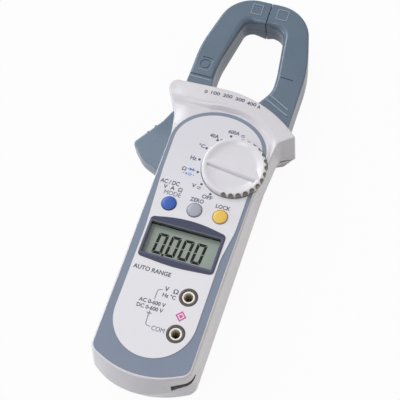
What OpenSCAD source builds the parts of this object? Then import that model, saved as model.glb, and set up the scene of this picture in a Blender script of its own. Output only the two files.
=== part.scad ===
// Clamp meter lying on its back: +Z out of the front face, +Y towards the jaws.
// The origin is on the back rest face, on the centre line. Millimetres.

/* [Case] */
// Width of the case across its sides
case_w = 48.5; // [48:0.5:53]
// Length of the case from the origin down to its foot
case_foot = 74.3; // [73.5:0.1:82]
// Height of the front face above the back
case_h = 29; // [29:0.25:33]
// Height of the plane where the two case halves meet
split_z = 14; // [13:0.25:15]
// Wall of both case halves
wall = 2; // [1.6:0.1:2.3]
// Thickness of the front wall
front_t = 2.4; // [2.2:0.1:2.8]
// Softened edge round the front face
front_edge = 0.8; // [0.4:0.1:1.2]
// Rounding of the back edge
back_edge = 3.5; // [2:0.25:4.5]

/* [Hand guard] */
// Length of the case from the origin up to the crest of the guard
guard_top = 74.9; // [74:0.1:78]
// Reach of the guard past the case on the lever side
guard_left = 9.9; // [9:0.1:12]
// Reach of the guard past the case on the other side
guard_right = 10.6; // [9.8:0.1:12]
// Height of the guard band above the front face
guard_rise = 2.3; // [1:0.1:3.5]
// How far the guard draws in towards the back
guard_taper = 5.5; // [3:0.25:6.5]

/* [Jaws] */
// Length from the origin up to the tips of the jaws
jaw_top = 134; // [131:0.1:142]
// How far the jaws stand outside the sides of the case
jaw_out = 3.85; // [3.4:0.05:4.2]
// Width of each jaw limb
limb_w = 12.4; // [11.6:0.1:13]
// Thickness of the jaws at the tips, between window and crest
tip_w = 13; // [12:0.1:14]
// Depth of the jaws, front to back
jaw_t = 15; // [14:0.1:15.4]
// Height of the middle plane of the jaws above the back
jaw_mid_z = 14.9; // [14.7:0.05:15.1]
// Side wall of the jaw shells
jaw_wall = 1.6; // [1.2:0.1:2]
// Front and back wall of the jaw shells
jaw_skin = 2.4; // [1.8:0.1:2.8]
// Gap between the closed tips
tip_gap = 0.4; // [0.3:0.05:0.8]

/* [Lever] */
// Reach of the lever past the side of the case
lever_reach = 18.6; // [15:0.1:21]
// Thickness of the lever
lever_t = 10.4; // [9:0.1:10.6]
// Distance from the pivot down to the lower edge of the lever
lever_drop = 37.3; // [36.5:0.1:38]
// Travel of the lever and its jaw in degrees
lever_open = 22; // [16:1:24]
// Wall of the hollow lever
lever_wall = 1.8; // [1.4:0.1:2.4]

/* [Pivot] */
// Depth of the pivot below the crest of the guard
pivot_drop = 8.9; // [8.7:0.05:9.1]
// Pivot distance outside the side of the case
pivot_out = 1.05; // [0.9:0.05:1.2]
// Diameter of the pivot pin
pin_d = 3; // [2.4:0.1:3.4]
// Wall round the pivot pin
hub_wall = 1.3; // [1.1:0.05:1.4]

/* [Selector] */
// Distance of the selector axis from the centre line
knob_x = 11.1; // [10.6:0.1:11.6]
// Height of the selector axis along the case
knob_y = 35.2; // [34.8:0.1:35.6]
// Diameter of the selector knob
knob_d = 31; // [30:0.1:32]
// Height of the knob rim above the front face
knob_rise = 2.8; // [1.6:0.1:4]
// Width of the raised rim of the knob
knob_rim = 2.2; // [1.4:0.1:3]
// Depth of the dished face of the knob
knob_dish = 0.8; // [0.3:0.1:1.2]
// Depth of the seat sunk into the front face
knob_seat = 1.1; // [0.8:0.1:1.2]
// Diameter of the selector shaft
shaft_d = 6; // [5:0.1:7]
// Number of finger notches round the free half of the edge
notch_count = 15; // [11:1:17]
// Angle between two finger notches
notch_step = 13; // [12.5:0.25:15]
// Number of switch positions
detent_count = 7; // [5:1:9]
// Angle between two switch positions
detent_step = 22.5; // [18:0.5:24]

/* [Buttons] */
// Diameter of a push button
button_d = 6.8; // [6:0.1:7.4]
// Distance between neighbouring buttons
button_pitch = 12.6; // [11.5:0.1:13]
// Height of the row of buttons along the case
button_y = 9.3; // [9:0.1:9.6]
// Height of the buttons above the front face
button_rise = 1; // [0.9:0.1:1.6]

/* [Display] */
// Visible width of the display
glass_w = 34.1; // [31:0.1:34.6]
// Visible height of the display
glass_h = 15.7; // [13:0.1:16.2]
// Height of the middle of the display along the case
glass_y = -9.2; // [-10:0.1:-9]
// Thickness of the clear window
window_t = 1.2; // [0.8:0.1:1.3]
// Thickness of the liquid crystal cell
cell_t = 2.5; // [2:0.1:2.7]

/* [Jacks] */
// Distance of the jacks from the centre line
jack_x = 11.2; // [9:0.1:12]
// Height of the lower jack along the case
jack_y = -50.5; // [-52:0.1:-49.5]
// Distance between the two jacks
jack_pitch = 18; // [17:0.1:18.6]
// Diameter of the jack hole
jack_d = 4; // [3.6:0.1:4.2]
// Outer diameter of the jack liner
liner_d = 5.9; // [5.7:0.1:6.3]
// Outer diameter of the jack shroud
shroud_d = 8.65; // [8:0.05:9.2]
// Depth of the jack below the front face
jack_depth = 17.5; // [14:0.1:19]

/* [Face] */
// Thickness of the face inlay
inlay_t = 0.8; // [0.5:0.1:1]
// Height of the label above the inlay
label_rise = 0.25; // [0.1:0.05:0.4]
// Width of the blue border round the label at the selector
border_w = 1.9; // [1:0.1:3]
// White rim of the case outside the inlay
rim_w = 0.95; // [0.7:0.05:1.4]

/* [Battery] */
// Diameter of a battery cell
cell_d = 10.5; // [10:0.1:10.6]
// Length of a battery cell over its button
cell_l = 44.5; // [43:0.1:44.8]
// Length of the compressed battery spring
spring_l = 4.2; // [3.6:0.1:4.4]
// Wall of the battery compartment
box_wall = 1.5; // [1.2:0.1:1.6]
// Thickness of the battery cover
cover_t = 1.2; // [1:0.1:1.4]

/* [Board] */
// Thickness of the circuit board
board_t = 1.6; // [1:0.1:1.7]
// Depth of the board below the inside of the front wall
board_depth = 4.1; // [4:0.05:4.2]

/* [Strap slot] */
// Height of the strap slot
slot_h = 5; // [3.5:0.1:5.2]
// Depth of the strap slot into the corner
slot_in = 3.2; // [2.6:0.1:3.6]

/* [Fits] */
// Radial clearance of turning parts
run_fit = 0.04; // [0.02:0.01:0.08]
// Clearance of sliding and drop-in parts
slide_fit = 0.12; // [0.08:0.01:0.18]
// Clearance where nothing may touch
free_gap = 0.35; // [0.3:0.05:0.45]

/* [Hidden] */

// Colours
white_shell = "#d8d6dc";
blue_shell = "#687888";
inlay_blue = "#808c9e";
cream = "#e1d7cd";
steel = "#b4b6ba";
brass = "#c8a95a";
dark = "#3c3834";
board_green = "#2f6b46";

// Levels and reference lines
side = case_w / 2;
foot_y = -case_foot;
face_z = case_h;
inner_z = face_z - front_t;
pocket_z = face_z - inlay_t;
board_top = inner_z - board_depth;
board_z = board_top - board_t;
jaw_z0 = jaw_mid_z - jaw_t / 2;
jaw_z1 = jaw_mid_z + jaw_t / 2;
lever_z0 = jaw_mid_z - lever_t / 2;
lever_z1 = jaw_mid_z + lever_t / 2;
pivot_y = guard_top - pivot_drop;
pivot = [-(side + pivot_out), pivot_y];
pin_r = pin_d / 2;
hub_r = pin_r + hub_wall;
jaw_side = side + jaw_out;
fine = 48;
outline_sag = 0.02;      // how far a chord may lie inside its arc

// ---- Outlines: each corner is [x, y, radius], counter-clockwise --------------------------

function xy(c) = [c[0], c[1]];
function unit(a, b) = (b - a) / norm(b - a);
function left(v) = [-v[1], v[0]];
function pick(c, i) = c[(i + len(c)) % len(c)];
function edge_in(c, i) = unit(xy(pick(c, i - 1)), xy(pick(c, i)));
function edge_out(c, i) = unit(xy(pick(c, i)), xy(pick(c, i + 1)));
function edge_len(c, i) = norm(xy(pick(c, i + 1)) - xy(pick(c, i)));
function turn(c, i) =
    atan2(cross(edge_in(c, i), edge_out(c, i)), edge_in(c, i) * edge_out(c, i));

// The outline moved inwards by d
function inset(c, d) = [for (i = [0 : len(c) - 1])
    let (m = left(edge_in(c, i)), n = left(edge_out(c, i)),
         k = xy(c[i]) + (m + n) * d / (1 + m * n))
    [k[0], k[1], max(0, c[i][2] - sign(turn(c, i)) * d)]];

// Length that the rounding of corner i takes from each of its edges
function reach(c, i) = pick(c, i)[2] * abs(tan(turn(c, i) / 2)) + 1e-6;
function fitted(c, i) = reach(c, i) * min(1,
    0.999 * edge_len(c, i - 1) / (reach(c, i) + reach(c, i - 1)),
    0.999 * edge_len(c, i) / (reach(c, i) + reach(c, i + 1)));

// Points round one corner, with every chord within outline_sag of the arc
function corner(c, i) =
    let (a = turn(c, i), t = fitted(c, i), q = xy(c[i]), r = t / max(1e-6, abs(tan(a / 2))),
         step = min(12, 2 * acos(max(0, 1 - outline_sag / max(outline_sag, r)))),
         n = t < 0.02 || abs(a) < 0.5 ? 0 : max(2, ceil(abs(a) / step)),
         first = q - edge_in(c, i) * t,
         hub = first + left(edge_in(c, i)) * r * sign(a),
         start = atan2(first[1] - hub[1], first[0] - hub[0]))
    n == 0 ? [q] : [for (k = [0 : n]) hub + r * [cos(start + a * k / n), sin(start + a * k / n)]];
function outline(c) = [for (i = [0 : len(c) - 1]) for (p = corner(c, i)) p];
function box_corners(x0, y0, x1, y1, r) = [[x1, y0, r], [x1, y1, r], [x0, y1, r], [x0, y0, r]];

// ---- Solids used by many parts ---------------------------------------------------------

module plate(c, z0, z1)
    translate([0, 0, z0]) linear_extrude(z1 - z0) polygon(outline(c));
module block(x0, y0, z0, x1, y1, z1)
    translate([x0, y0, z0]) cube([x1 - x0, y1 - y0, z1 - z0]);
module rod(p, r, z0, z1)
    translate([p[0], p[1], z0]) cylinder(r = r, h = z1 - z0, $fn = fine);
module ring(p, r_out, r_in, z0, z1)
    translate([p[0], p[1], z0]) rotate_extrude($fn = fine)
        translate([r_in, 0]) square([r_out - r_in, z1 - z0]);

// Round wire of radius r along points p; up is never along the wire
module wire(p, r, up = [0, 0, 1], n = 8) {
    last = len(p) - 1;
    ahead = [for (i = [0 : last]) unit(p[max(0, i - 1)], p[min(last, i + 1)])];
    across = [for (d = ahead) unit([0, 0, 0], cross(d, up))];
    polyhedron(
        [for (i = [0 : last]) let (over = cross(across[i], ahead[i])) for (k = [0 : n - 1])
            p[i] + r * (across[i] * cos(360 * k / n) + over * sin(360 * k / n))],
        concat(
            [[for (k = [n - 1 : -1 : 0]) k]],
            [for (i = [0 : last - 1]) for (k = [0 : n - 1]) let (j = (k + 1) % n)
                for (half = [[j + n, k + n], [k + n, k]]) [i * n + j, i * n + half[0], i * n + half[1]]],
            [[for (k = [0 : n - 1]) last * n + k]]));
}
// Points of a coil that climbs along Z
function coil(r, height, turns, per_turn = 12) =
    [for (k = [0 : turns * per_turn])
        [r * cos(360 * k / per_turn), r * sin(360 * k / per_turn), height * k / turns / per_turn]];

// ---- Outlines of the case ---------------------------------------------------------------

foot_corner = 6.8;       // height of the foot corners above the foot
foot_sag = 4.2;          // depth of the bowed foot
narrow = 0.35;           // the foot is this much narrower on each side
case_corners = [
    [side - narrow, foot_y + foot_corner, 6],
    [side, 24, 60],
    [side + 2.45, 44, 45],
    [side + 3.45, guard_top - 22.3, 4],
    [side + guard_right, guard_top - 16.8, 1.2],
    [side - 10.35, guard_top, 58],
    [-(side + guard_left - 0.9), guard_top - 0.7, 4.5],
    [-(side + guard_left - 0.5), guard_top - 5.6, 4],
    [-(side + 2.4), guard_top - 17.9, 15],
    [-side, 46, 25],
    [-(side - narrow), foot_y + foot_corner, 6],
    [0, foot_y - foot_sag, 42]];
// The guard alone, a convex outline
guard_corners = [for (i = [3 : 8]) [case_corners[i][0], case_corners[i][1],
    i == 3 || i == 8 ? 0 : case_corners[i][2]]];
// The guard at the back, drawn in at both ends and at the crest
guard_low = [
    [guard_corners[0][0] - 0.4, guard_corners[0][1] + 0.2, 0],
    [side + guard_right - guard_taper - 0.7, guard_top - 17.3, 1.5],
    [side - 14.2, guard_top - 2, 54],
    [-(side + guard_left - guard_taper + 0.7), guard_top - 2, 4],
    [-(side + 2.3), guard_top - 17.9, 0]];
// A guard outline drawn in by the wall, with its ends inside the body
function guard_room(c) = let (g = inset(c, wall), last = len(c) - 1) concat(
    [[side - wall, c[0][1] + wall, 0]],
    [for (i = [1 : last - 1]) g[i]],
    [[-(side - wall), c[last][1] + wall, 0]]);
// The body below the guard
body_corners = [
    case_corners[0],
    case_corners[1],
    [side, guard_top - 10, 4],
    [-side, guard_top - 10, 4],
    case_corners[10],
    case_corners[11]];

// Blue inlay: half an ellipse over a long body with a bowed foot
dial_y = 43.8;
inlay_rx = side - 0.55;
inlay_ry = 18.8;
function half_ellipse(rx, ry) =
    [for (a = [0 : 5 : 180]) [rx * cos(a), dial_y + ry * sin(a), 0]];
inlay_corners = concat(half_ellipse(inlay_rx, inlay_ry), [
    [-(side - rim_w - 0.3), -19, 90],
    [-(side - narrow - rim_w), foot_y + foot_corner + rim_w, 4.7],
    [0, foot_y - foot_sag + rim_w + 0.55, 41],
    [side - narrow - rim_w, foot_y + foot_corner + rim_w, 4.7],
    [side - rim_w - 0.3, -19, 90]]);

// White label: the ellipse less the border, drawn in to a round foot
label_edge = 2.25;       // label beyond the glass on each side
label_r = glass_w / 2 + label_edge;
label_foot = foot_y + 9.5 + label_r;
function label_corners(d) = concat(
    half_ellipse(inlay_rx - border_w - d, inlay_ry - border_w - d), [
    [-(side - 2.75 - d), 26, 60],
    [-(label_r + 0.1 - d), -4, 60],
    [-(label_r - d), label_foot - label_r + d, label_r],
    [label_r - d, label_foot - label_r + d, label_r],
    [label_r - d, -10.5, 25],
    [side - 2.65 - d, 4, 25]]);

// ---- Places ------------------------------------------------------------------------------

boss_r = 3;
screw_r = 1.15;
screw_head_r = 2.3;
small_screw_r = 0.95;
small_head_r = 1.8;
board_screw_r = 0.8;
case_bosses = [
    [-13.5, foot_y + 8.3], [13.5, foot_y + 8.3],
    [-6, guard_top - 17.6], [side - 4.75, guard_top - 19.4]];
board_bosses = [[-6, 47.8], [-18, -25.8], [18, -25.8]];
buttons = [for (k = [-1 : 1]) [k * button_pitch, button_y]];
jacks = [for (k = [0 : 1]) [jack_x, jack_y + k * jack_pitch]];
knob_at = [knob_x, knob_y];
rest_angle = 180;        // the grip points to the middle position at rest

// ---- Jaws --------------------------------------------------------------------------------

limb_in = jaw_side - limb_w;
tip_x = tip_gap / 2;
tip_in = jaw_top - tip_w;
limb_foot = pivot_y - 6.5;
jaw_bend = jaw_top - 33;        // where the limbs start to draw in, on the outside
window_bend = jaw_top - 40;     // and on the inside
// Left limb, from the tip round the outside to its foot in the case and back up
moving_limb = [
    [-tip_x, jaw_top, 0.4],
    [-(jaw_side - 8), jaw_top, 17.5],
    [-jaw_side, jaw_bend, 60],
    [-jaw_side, pivot_y, 1],
    [-(jaw_side - 6), limb_foot, 3],
    [-limb_in, limb_foot, 1.5],
    [-limb_in, window_bend, 50],
    [-(limb_in - 5.4), tip_in, 5],
    [-tip_x, tip_in, 0.4]];
// Right limb, whose inner side swings in towards its foot
fixed_foot = guard_top - 15.7;
fixed_in = limb_in - 7;
fixed_limb = [
    [tip_x, tip_in, 0.4],
    [limb_in - 5.4, tip_in, 8],
    [limb_in - 1.4, window_bend - 1, 50],
    [limb_in - 1.2, guard_top + 9.6, 12],
    [fixed_in, guard_top - 0.1, 8],
    [fixed_in, fixed_foot, 1.5],
    [jaw_side, fixed_foot, 1.5],
    [jaw_side, jaw_bend - 1, 70],
    [jaw_side - 8.7, jaw_top, 19],
    [tip_x, jaw_top, 0.4]];

// Lever, with its lower edge swung about the pivot
lever_tip_y = pivot_y - 26.4;
lever_foot = pivot_y - lever_drop;
lever_corners = [
    [-jaw_side, pivot_y, 1],
    [-(side + 5.2), pivot_y - 3.6, 6],
    [-(side + 8.4), pivot_y - 11.2, 14],
    [-(side + lever_reach), lever_tip_y, 2.4],
    [-(side + 11.6), lever_foot + 3.6, 14],
    [-(side + 2.6), lever_foot, 8],
    [-(side - 3), lever_foot + 0.1, 1.5],
    [-(side - 4.2), pivot_y - 16, 20],
    [-(side - 6.5), limb_foot - 2, 8],
    [-limb_in, limb_foot, 1],
    [-limb_in, pivot_y + 2, 1]];

// Cores: a limb inside the shells and a foot towards the sensor gap
core_gap = 0.15;
core_in = jaw_wall + core_gap;
core_z0 = jaw_z0 + jaw_skin + core_gap;
core_z1 = jaw_z1 - jaw_skin - core_gap;
pole_h = 6;              // height of the lower poles along the case
pole_y = pivot_y - 3.5;  // lower edge of the lower poles
sensor_t = 0.9;
// Reach of the limb's inner foot corner from the pivot as it swings
foot_arm = [-limb_in - pivot[0], limb_foot - pivot_y];
foot_swing = min(0, atan2(foot_arm[1], foot_arm[0]) + lever_open);
sensor_x = pivot[0] + norm(foot_arm) * cos(foot_swing) + free_gap;
core_end_x = sensor_x + sensor_t;

moving_core_corners = let (c = inset(moving_limb, core_in)) [
    c[0], c[1], c[2],
    [-(jaw_side - core_in), pivot_y + hub_r + 1.5, 1],
    [-(jaw_side - core_in - 4.4), pivot_y + hub_r - 1, 1],
    [-(jaw_side - core_in - 4.4), pole_y, 0.5],
    [-limb_in - 0.02, pole_y, 0.3],
    [-limb_in - 0.02, pole_y + pole_h, 0.3],
    [c[6][0], pole_y + pole_h, 0.3],
    c[6], c[7], c[8]];
fixed_core_corners = let (c = inset(fixed_limb, core_in)) [
    c[0], c[1], c[2], c[3],
    [c[4][0] + 2.5, pole_y + pole_h + 2, 3],
    [c[4][0], pole_y + pole_h, 1],
    [core_end_x, pole_y + pole_h, 0.3],
    [core_end_x, pole_y, 0.3],
    [jaw_side - core_in, pole_y, 4],
    c[7], c[8], c[9]];

// ---- Openings in the case ----------------------------------------------------------------

// Slot that the moving jaw swings in, in the top of the guard: its outer end follows
// the outer edge of the fully opened jaw
module jaw_slot() {
    offset_x = jaw_side + pivot[0] + free_gap;
    low = pivot - offset_x * [cos(lever_open), sin(lever_open)];
    high = low + 14 * [-sin(lever_open), cos(lever_open)];
    foot_y0 = limb_foot - free_gap;
    plate([[low[0], low[1], 0], [-(jaw_side - 6) - free_gap, foot_y0, 0],
        [-limb_in + free_gap, foot_y0, 0], [-limb_in + free_gap, high[1], 0],
        [high[0], high[1], 0]],
        jaw_z0 - free_gap, jaw_z1 + free_gap);
    rod(pivot, hub_r + free_gap, jaw_z0 - free_gap, jaw_z1 + free_gap);
}
// Slot that the lever swings in, in the side of the case
module lever_slot()
    block(-(side + 14), lever_foot - 0.8, lever_z0 - free_gap,
        -(side - 3), pivot_y - 0.4, lever_z1 + free_gap);
// Opening that holds the foot of the fixed jaw
module fixed_jaw_seat() {
    c = inset(fixed_limb, -slide_fit);
    plate(c, jaw_z0 - slide_fit, jaw_z1 + slide_fit);
}
slot_top = face_z - 8;
slot_reach = 9;          // length of the slot along the foot
module strap_slot() {
    z0 = slot_top - slot_h;
    intersection() {
        difference() {
            plate(inset(case_corners, -2), z0, z0 + slot_h);
            plate(inset(case_corners, slot_in), z0 - 1, z0 + slot_h + 1);
        }
        block(side - slot_reach, foot_y - 3, z0 - 1, side + 3, foot_y + 11.3, z0 + slot_h + 1);
    }
}
module strap_corner()
    block(side - slot_reach - 2, foot_y - 3, slot_top - slot_h - 1.6,
        side + 3, foot_y + 12.9, slot_top + 1.6);
module shared_openings() {
    jaw_slot();
    lever_slot();
    fixed_jaw_seat();
}

// ---- Case --------------------------------------------------------------------------------

// Raised band of the guard; its inner shoulder follows the dial
shoulder = [
    [side + 3.1, 38, 0],
    [side + 3.1, guard_top - 19.2, 8],
    [side - 16.85, guard_top - 8, 40],
    [-(side + 12), guard_top - 8, 0],
    [-(side + 12), 38, 0]];
module guard_band() {
    step = guard_rise / 2;
    for (k = [0, 1]) difference() {
        plate(inset(case_corners, front_edge * 0.4 + 2.2 * k), face_z - 0.5, face_z + step * (k + 1));
        plate(inset(shoulder, 2.2 - 2 * k), face_z - 1, face_z + guard_rise + 1);
        block(-60, foot_y - 9, face_z - 1, 60, 45, face_z + guard_rise + 1);
    }
}
module notch_ring() {
    span = (detent_count - 1) * detent_step + 24;
    difference() {
        translate([knob_x, knob_y, board_top + free_gap]) rotate(rest_angle - span / 2)
            rotate_extrude(angle = span, $fn = 96) translate([rotor_r + 1.1, 0])
                square([1.6, inner_z - board_top - free_gap + 0.5]);
        for (k = [0 : detent_count - 1])
            rod(knob_at + (rotor_r + 1.2) * heading((k - (detent_count - 1) / 2) * detent_step),
                0.9, board_top, inner_z);
    }
}
function heading(a) = [cos(rest_angle + a), sin(rest_angle + a)];
// What stands inside the front half
module front_posts() {
    for (b = case_bosses) rod(b, boss_r, split_z, inner_z + 0.5);
    for (b = board_bosses) rod(b, 2.6, board_top, inner_z + 0.5);
    rod(pivot, hub_r + 0.4, inner_z - 1.6, inner_z + 0.5);
    strap_corner();
    notch_ring();
    // ribs over the cross limb of the core and over the foot of the fixed jaw
    for (x = [-9, 1]) block(x, pole_y, core_z1, x + 2, pole_y + pole_h, inner_z + 0.5);
    block(fixed_in + 3, fixed_foot + 0.5, jaw_z1 + slide_fit, fixed_in + 13, fixed_foot + 2.5, inner_z + 0.5);
}
module front_case() color(white_shell) difference() {
    union() {
        plate(case_corners, split_z, face_z - front_edge);
        plate(inset(case_corners, front_edge * 0.6), face_z - front_edge, face_z);
        guard_band();
    }
    difference() {
        plate(inset(case_corners, wall), split_z - 1, inner_z);
        front_posts();
    }
    plate(inlay_corners, pocket_z, face_z + 0.2);
    rod(knob_at, knob_d / 2 + 0.4, face_z - knob_seat, face_z + 9);
    rod(knob_at, shaft_d / 2 + run_fit, inner_z - 1, face_z);
    plate(display_opening(0), inner_z - 1, face_z);
    for (b = buttons) rod(b, button_d / 2 + slide_fit, inner_z - 1, face_z);
    for (j = jacks) rod(j, shroud_d / 2 + slide_fit / 2, inner_z - 1, face_z);
    for (b = case_bosses) rod(b, screw_r + 0.03, split_z - 1, split_z + 8.6);
    for (b = board_bosses) rod(b, board_screw_r + 0.03, board_top - 1, inner_z + 0.6);
    rod(pivot, pin_r, inner_z - 2, inner_z - 0.5 + 0.6);
    shared_openings();
    strap_slot();
}

box_y0 = -23.5;
box_y1 = box_y0 + cell_l + spring_l + 0.9;
box_x = cell_d + 0.9;
box_roof = cover_t + 1.1 + cell_d + 0.4;
box_corners_in = box_corners(-box_x, box_y0, box_x, box_y1, 0.5);
cover_corners = box_corners(-(side - 6.8), box_y0 - 7.2, side - 6.8, box_y1 + 3, 3);
cover_screw = [0, box_y0 - 4.4];
screw_head_z = 6.3;
module rear_posts() {
    for (b = case_bosses) rod(b, boss_r + 0.5, 1, split_z);
    rod(pivot, hub_r + 0.4, 1, jaw_z0 - 0.2);
    plate(box_corners(-box_x - box_wall, box_y0 - box_wall, box_x + box_wall, box_y1 + box_wall, 1),
        1, box_roof + box_wall);
    rod(cover_screw, 2.7, 1, split_z - 4);
    for (x = [-9, 1]) block(x, pole_y, 1, x + 2, pole_y + pole_h, core_z0);
    block(fixed_in + 3, fixed_foot + 0.5, 1, fixed_in + 13, fixed_foot + 2.5, jaw_z0 - slide_fit);
    for (j = jacks) ring(j, jack_d / 2 + 2.4, jack_d / 2 + 1.2, 1, face_z - jack_depth);
}
module rear_case() color(white_shell) difference() {
    union() {
        hull() {
            for (a = [0 : 22.5 : 90]) let (z = back_edge * (1 - sin(a)))
                plate(inset(body_corners, back_edge * (1 - cos(a))), z, a == 0 ? split_z : z + 0.1);
        }
        hull() {
            plate(guard_low, 0, 0.1);
            plate(guard_corners, split_z - 4, split_z);
        }
        plate(case_corners, split_z - 4.5, split_z);
    }
    difference() {
        union() {
            plate(inset(body_corners, wall), wall, split_z + 1);
            hull() {
                plate(guard_room(guard_low), wall, wall + 0.1);
                plate(guard_room(guard_corners), split_z - 3.5, split_z + 1);
            }
            plate(inset(case_corners, wall), split_z - 3, split_z + 1);
        }
        rear_posts();
    }
    plate(box_corners_in, -1, box_roof);
    plate(inset(cover_corners, -slide_fit), -1, cover_t);
    rod(cover_screw, small_screw_r + 0.03, 0, split_z - 5);
    for (b = case_bosses) {
        rod(b, screw_r + 0.15, 0, split_z + 1);
        rod(b, screw_head_r + 0.3, -1, screw_head_z);
    }
    rod(pivot, pin_r, wall + 0.6, jaw_z0);
    shared_openings();
}

// ---- Face --------------------------------------------------------------------------------

function display_opening(d) = box_corners(-glass_w / 2 - 0.6 + d - 0.4, glass_y - glass_h / 2 - 0.6 + d,
    glass_w / 2 + 0.6 - d - 0.4, glass_y + glass_h / 2 + 0.6 - d, 1);
bezel_corners = [
    [glass_w / 2 + 1.25, glass_y - glass_h / 2 - 2.15, 2],
    [glass_w / 2 + 1.25, glass_y + glass_h / 2 + 2.35, 2],
    [0, glass_y + glass_h / 2 + 6, 60],
    [-glass_w / 2 - 1.25, glass_y + glass_h / 2 + 2.35, 2],
    [-glass_w / 2 - 1.25, glass_y - glass_h / 2 - 2.15, 2],
    [0, glass_y - glass_h / 2 - 3.7, 80]];
module face_holes() {
    rod(knob_at, knob_d / 2 + 0.4, pocket_z - 1, face_z + 3);
    for (b = buttons) rod(b, button_d / 2 + slide_fit, pocket_z - 1, face_z + 3);
    for (j = jacks) rod(j, shroud_d / 2 + slide_fit / 2, pocket_z - 1, face_z + 3);
}
module face_inlay() color(inlay_blue) difference() {
    plate(inset(inlay_corners, 0.05), pocket_z, face_z);
    plate(label_corners(0), pocket_z - 1, face_z + 1);
    rod(knob_at, knob_d / 2 + 0.4, pocket_z - 1, face_z + 3);
}
module face_label() color("#dcdae0") difference() {
    plate(label_corners(0.05), pocket_z, face_z + label_rise);
    plate(inset(bezel_corners, -0.05), pocket_z - 1, face_z + 2);
    face_holes();
}
module display_bezel() color("#50546a") difference() {
    plate(bezel_corners, pocket_z, face_z + label_rise + 0.25);
    translate([-0.4, glass_y, pocket_z - 1]) linear_extrude(4)
        square([glass_w, glass_h], center = true);
}
module display_window() color("#b9c4c0", 0.6)
    plate(display_opening(slide_fit), pocket_z - window_t, pocket_z);
cell_half = [glass_w / 2 + 1.3, glass_h / 2 + 1.4];
cell_z1 = inner_z - 0.1;
module display_cell() color("#91a08c")
    block(-cell_half[0], glass_y - cell_half[1], cell_z1 - cell_t,
        cell_half[0], glass_y + cell_half[1], cell_z1);
module display_frame() color("#d0d0d0") difference() {
    c = box_corners(-cell_half[0] - 1.3, glass_y - cell_half[1] - 1.3,
        cell_half[0] + 1.3, glass_y + cell_half[1] + 1.3, 1);
    plate(c, board_top, cell_z1 - 0.3);
    block(-cell_half[0] - slide_fit, glass_y - cell_half[1] - slide_fit, board_top - 1,
        cell_half[0] + slide_fit, glass_y + cell_half[1] + slide_fit, cell_z1);
}
module contact_strip() color("#d07a8c")
    block(-cell_half[0] + 1, glass_y - cell_half[1] + 0.2, board_top,
        cell_half[0] - 1, glass_y - cell_half[1] + 2.2, cell_z1 - cell_t);

// ---- Circuit board -----------------------------------------------------------------------

board_corners = [
    [side - 4.5, foot_y + 15.3, 2],
    [side - wall - 0.95, foot_y + 19, 2],
    [side - wall - 0.95, 46, 3],
    [side - 7, 50.8, 3],
    [-(side - 8), 50.8, 3],
    [-(side - wall - 0.95), 44, 3],
    [-(side - wall - 0.95), foot_y + 19, 2],
    [-(side - 4.5), foot_y + 15.3, 2]];
module main_board() color(board_green) difference() {
    plate(board_corners, board_z, board_top);
    for (b = board_bosses) rod(b, board_screw_r + 0.3, board_z - 1, board_top + 1);
    for (j = jacks) rod(j, jack_d / 2 + 0.55 + slide_fit, board_z - 1, board_top + 1);
}
module board_chips() color("#2a2c30") {
    block(-8, -14, board_z - 1.6, 4, -2, board_z);            // measuring chip
    block(-15, 1, board_z - 1.1, -9, 5, board_z);             // memory
    block(6, 2, board_z - 3.4, 16, 5, board_z);               // crystal
    block(-19.5, -54, board_z - 4, -15.5, -44, board_z);          // surge resistor
    for (x = [-4, 0, 4]) block(x, -40, board_z - 1, x + 2, -36.8, board_z);
}
module buzzer() color("#1e1e20") difference() {
    rod([-8, -50], 5.5, board_z - 4.5, board_z);
    rod([-8, -50], 1, board_z - 5, board_z - 3.9);
}
// A screw that points up, with its head below and a cross recess in it
module up_screw(p, shank_r, head_r, z_head, head_t, z_tip) difference() {
    union() {
        rod(p, shank_r, z_head, z_tip);
        rod(p, head_r, z_head - head_t, z_head);
    }
    for (a = [0, 90]) translate([p[0], p[1], z_head - head_t]) rotate(a)
        cube([head_r * 1.1, 0.5, head_t], center = true);
}
module board_screws() color(steel)
    for (b = board_bosses) up_screw(b, board_screw_r, small_head_r, board_z, 1, inner_z - 0.4);

// ---- Buttons -----------------------------------------------------------------------------

button_foot = board_top + 2.8;
button_lip = 0.7;        // ledge that keeps a button behind the front wall
pad_r = 3.2;             // foot of a rubber dome
pad_t = 0.8;
module button(p) {
    r = button_d / 2;
    top = face_z + button_rise;
    translate([p[0], p[1], 0]) rotate_extrude($fn = fine) polygon([
        [0, button_foot], [r + button_lip, button_foot], [r + button_lip, inner_z - 0.2],
        [r, inner_z - 0.2], [r, top - 0.35], [r - 0.35, top - 0.1], [r - 1.2, top], [0, top]]);
}
module blue_button() color("#325abe") button(buttons[0]);
module grey_button() color("#aab0ba") button(buttons[1]);
module yellow_button() color("#e8be50") button(buttons[2]);
module keypad() color("#c8ccd0") {
    edge = pad_r + 0.9;
    plate(box_corners(-button_pitch - edge, button_y - edge, button_pitch + edge, button_y + edge, 2),
        board_top, board_top + pad_t);
    for (b = buttons) translate([b[0], b[1], board_top + pad_t])
        cylinder(r1 = pad_r, r2 = pad_r - 1, h = button_foot - board_top - pad_t, $fn = fine);
}

// ---- Selector ----------------------------------------------------------------------------

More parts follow.
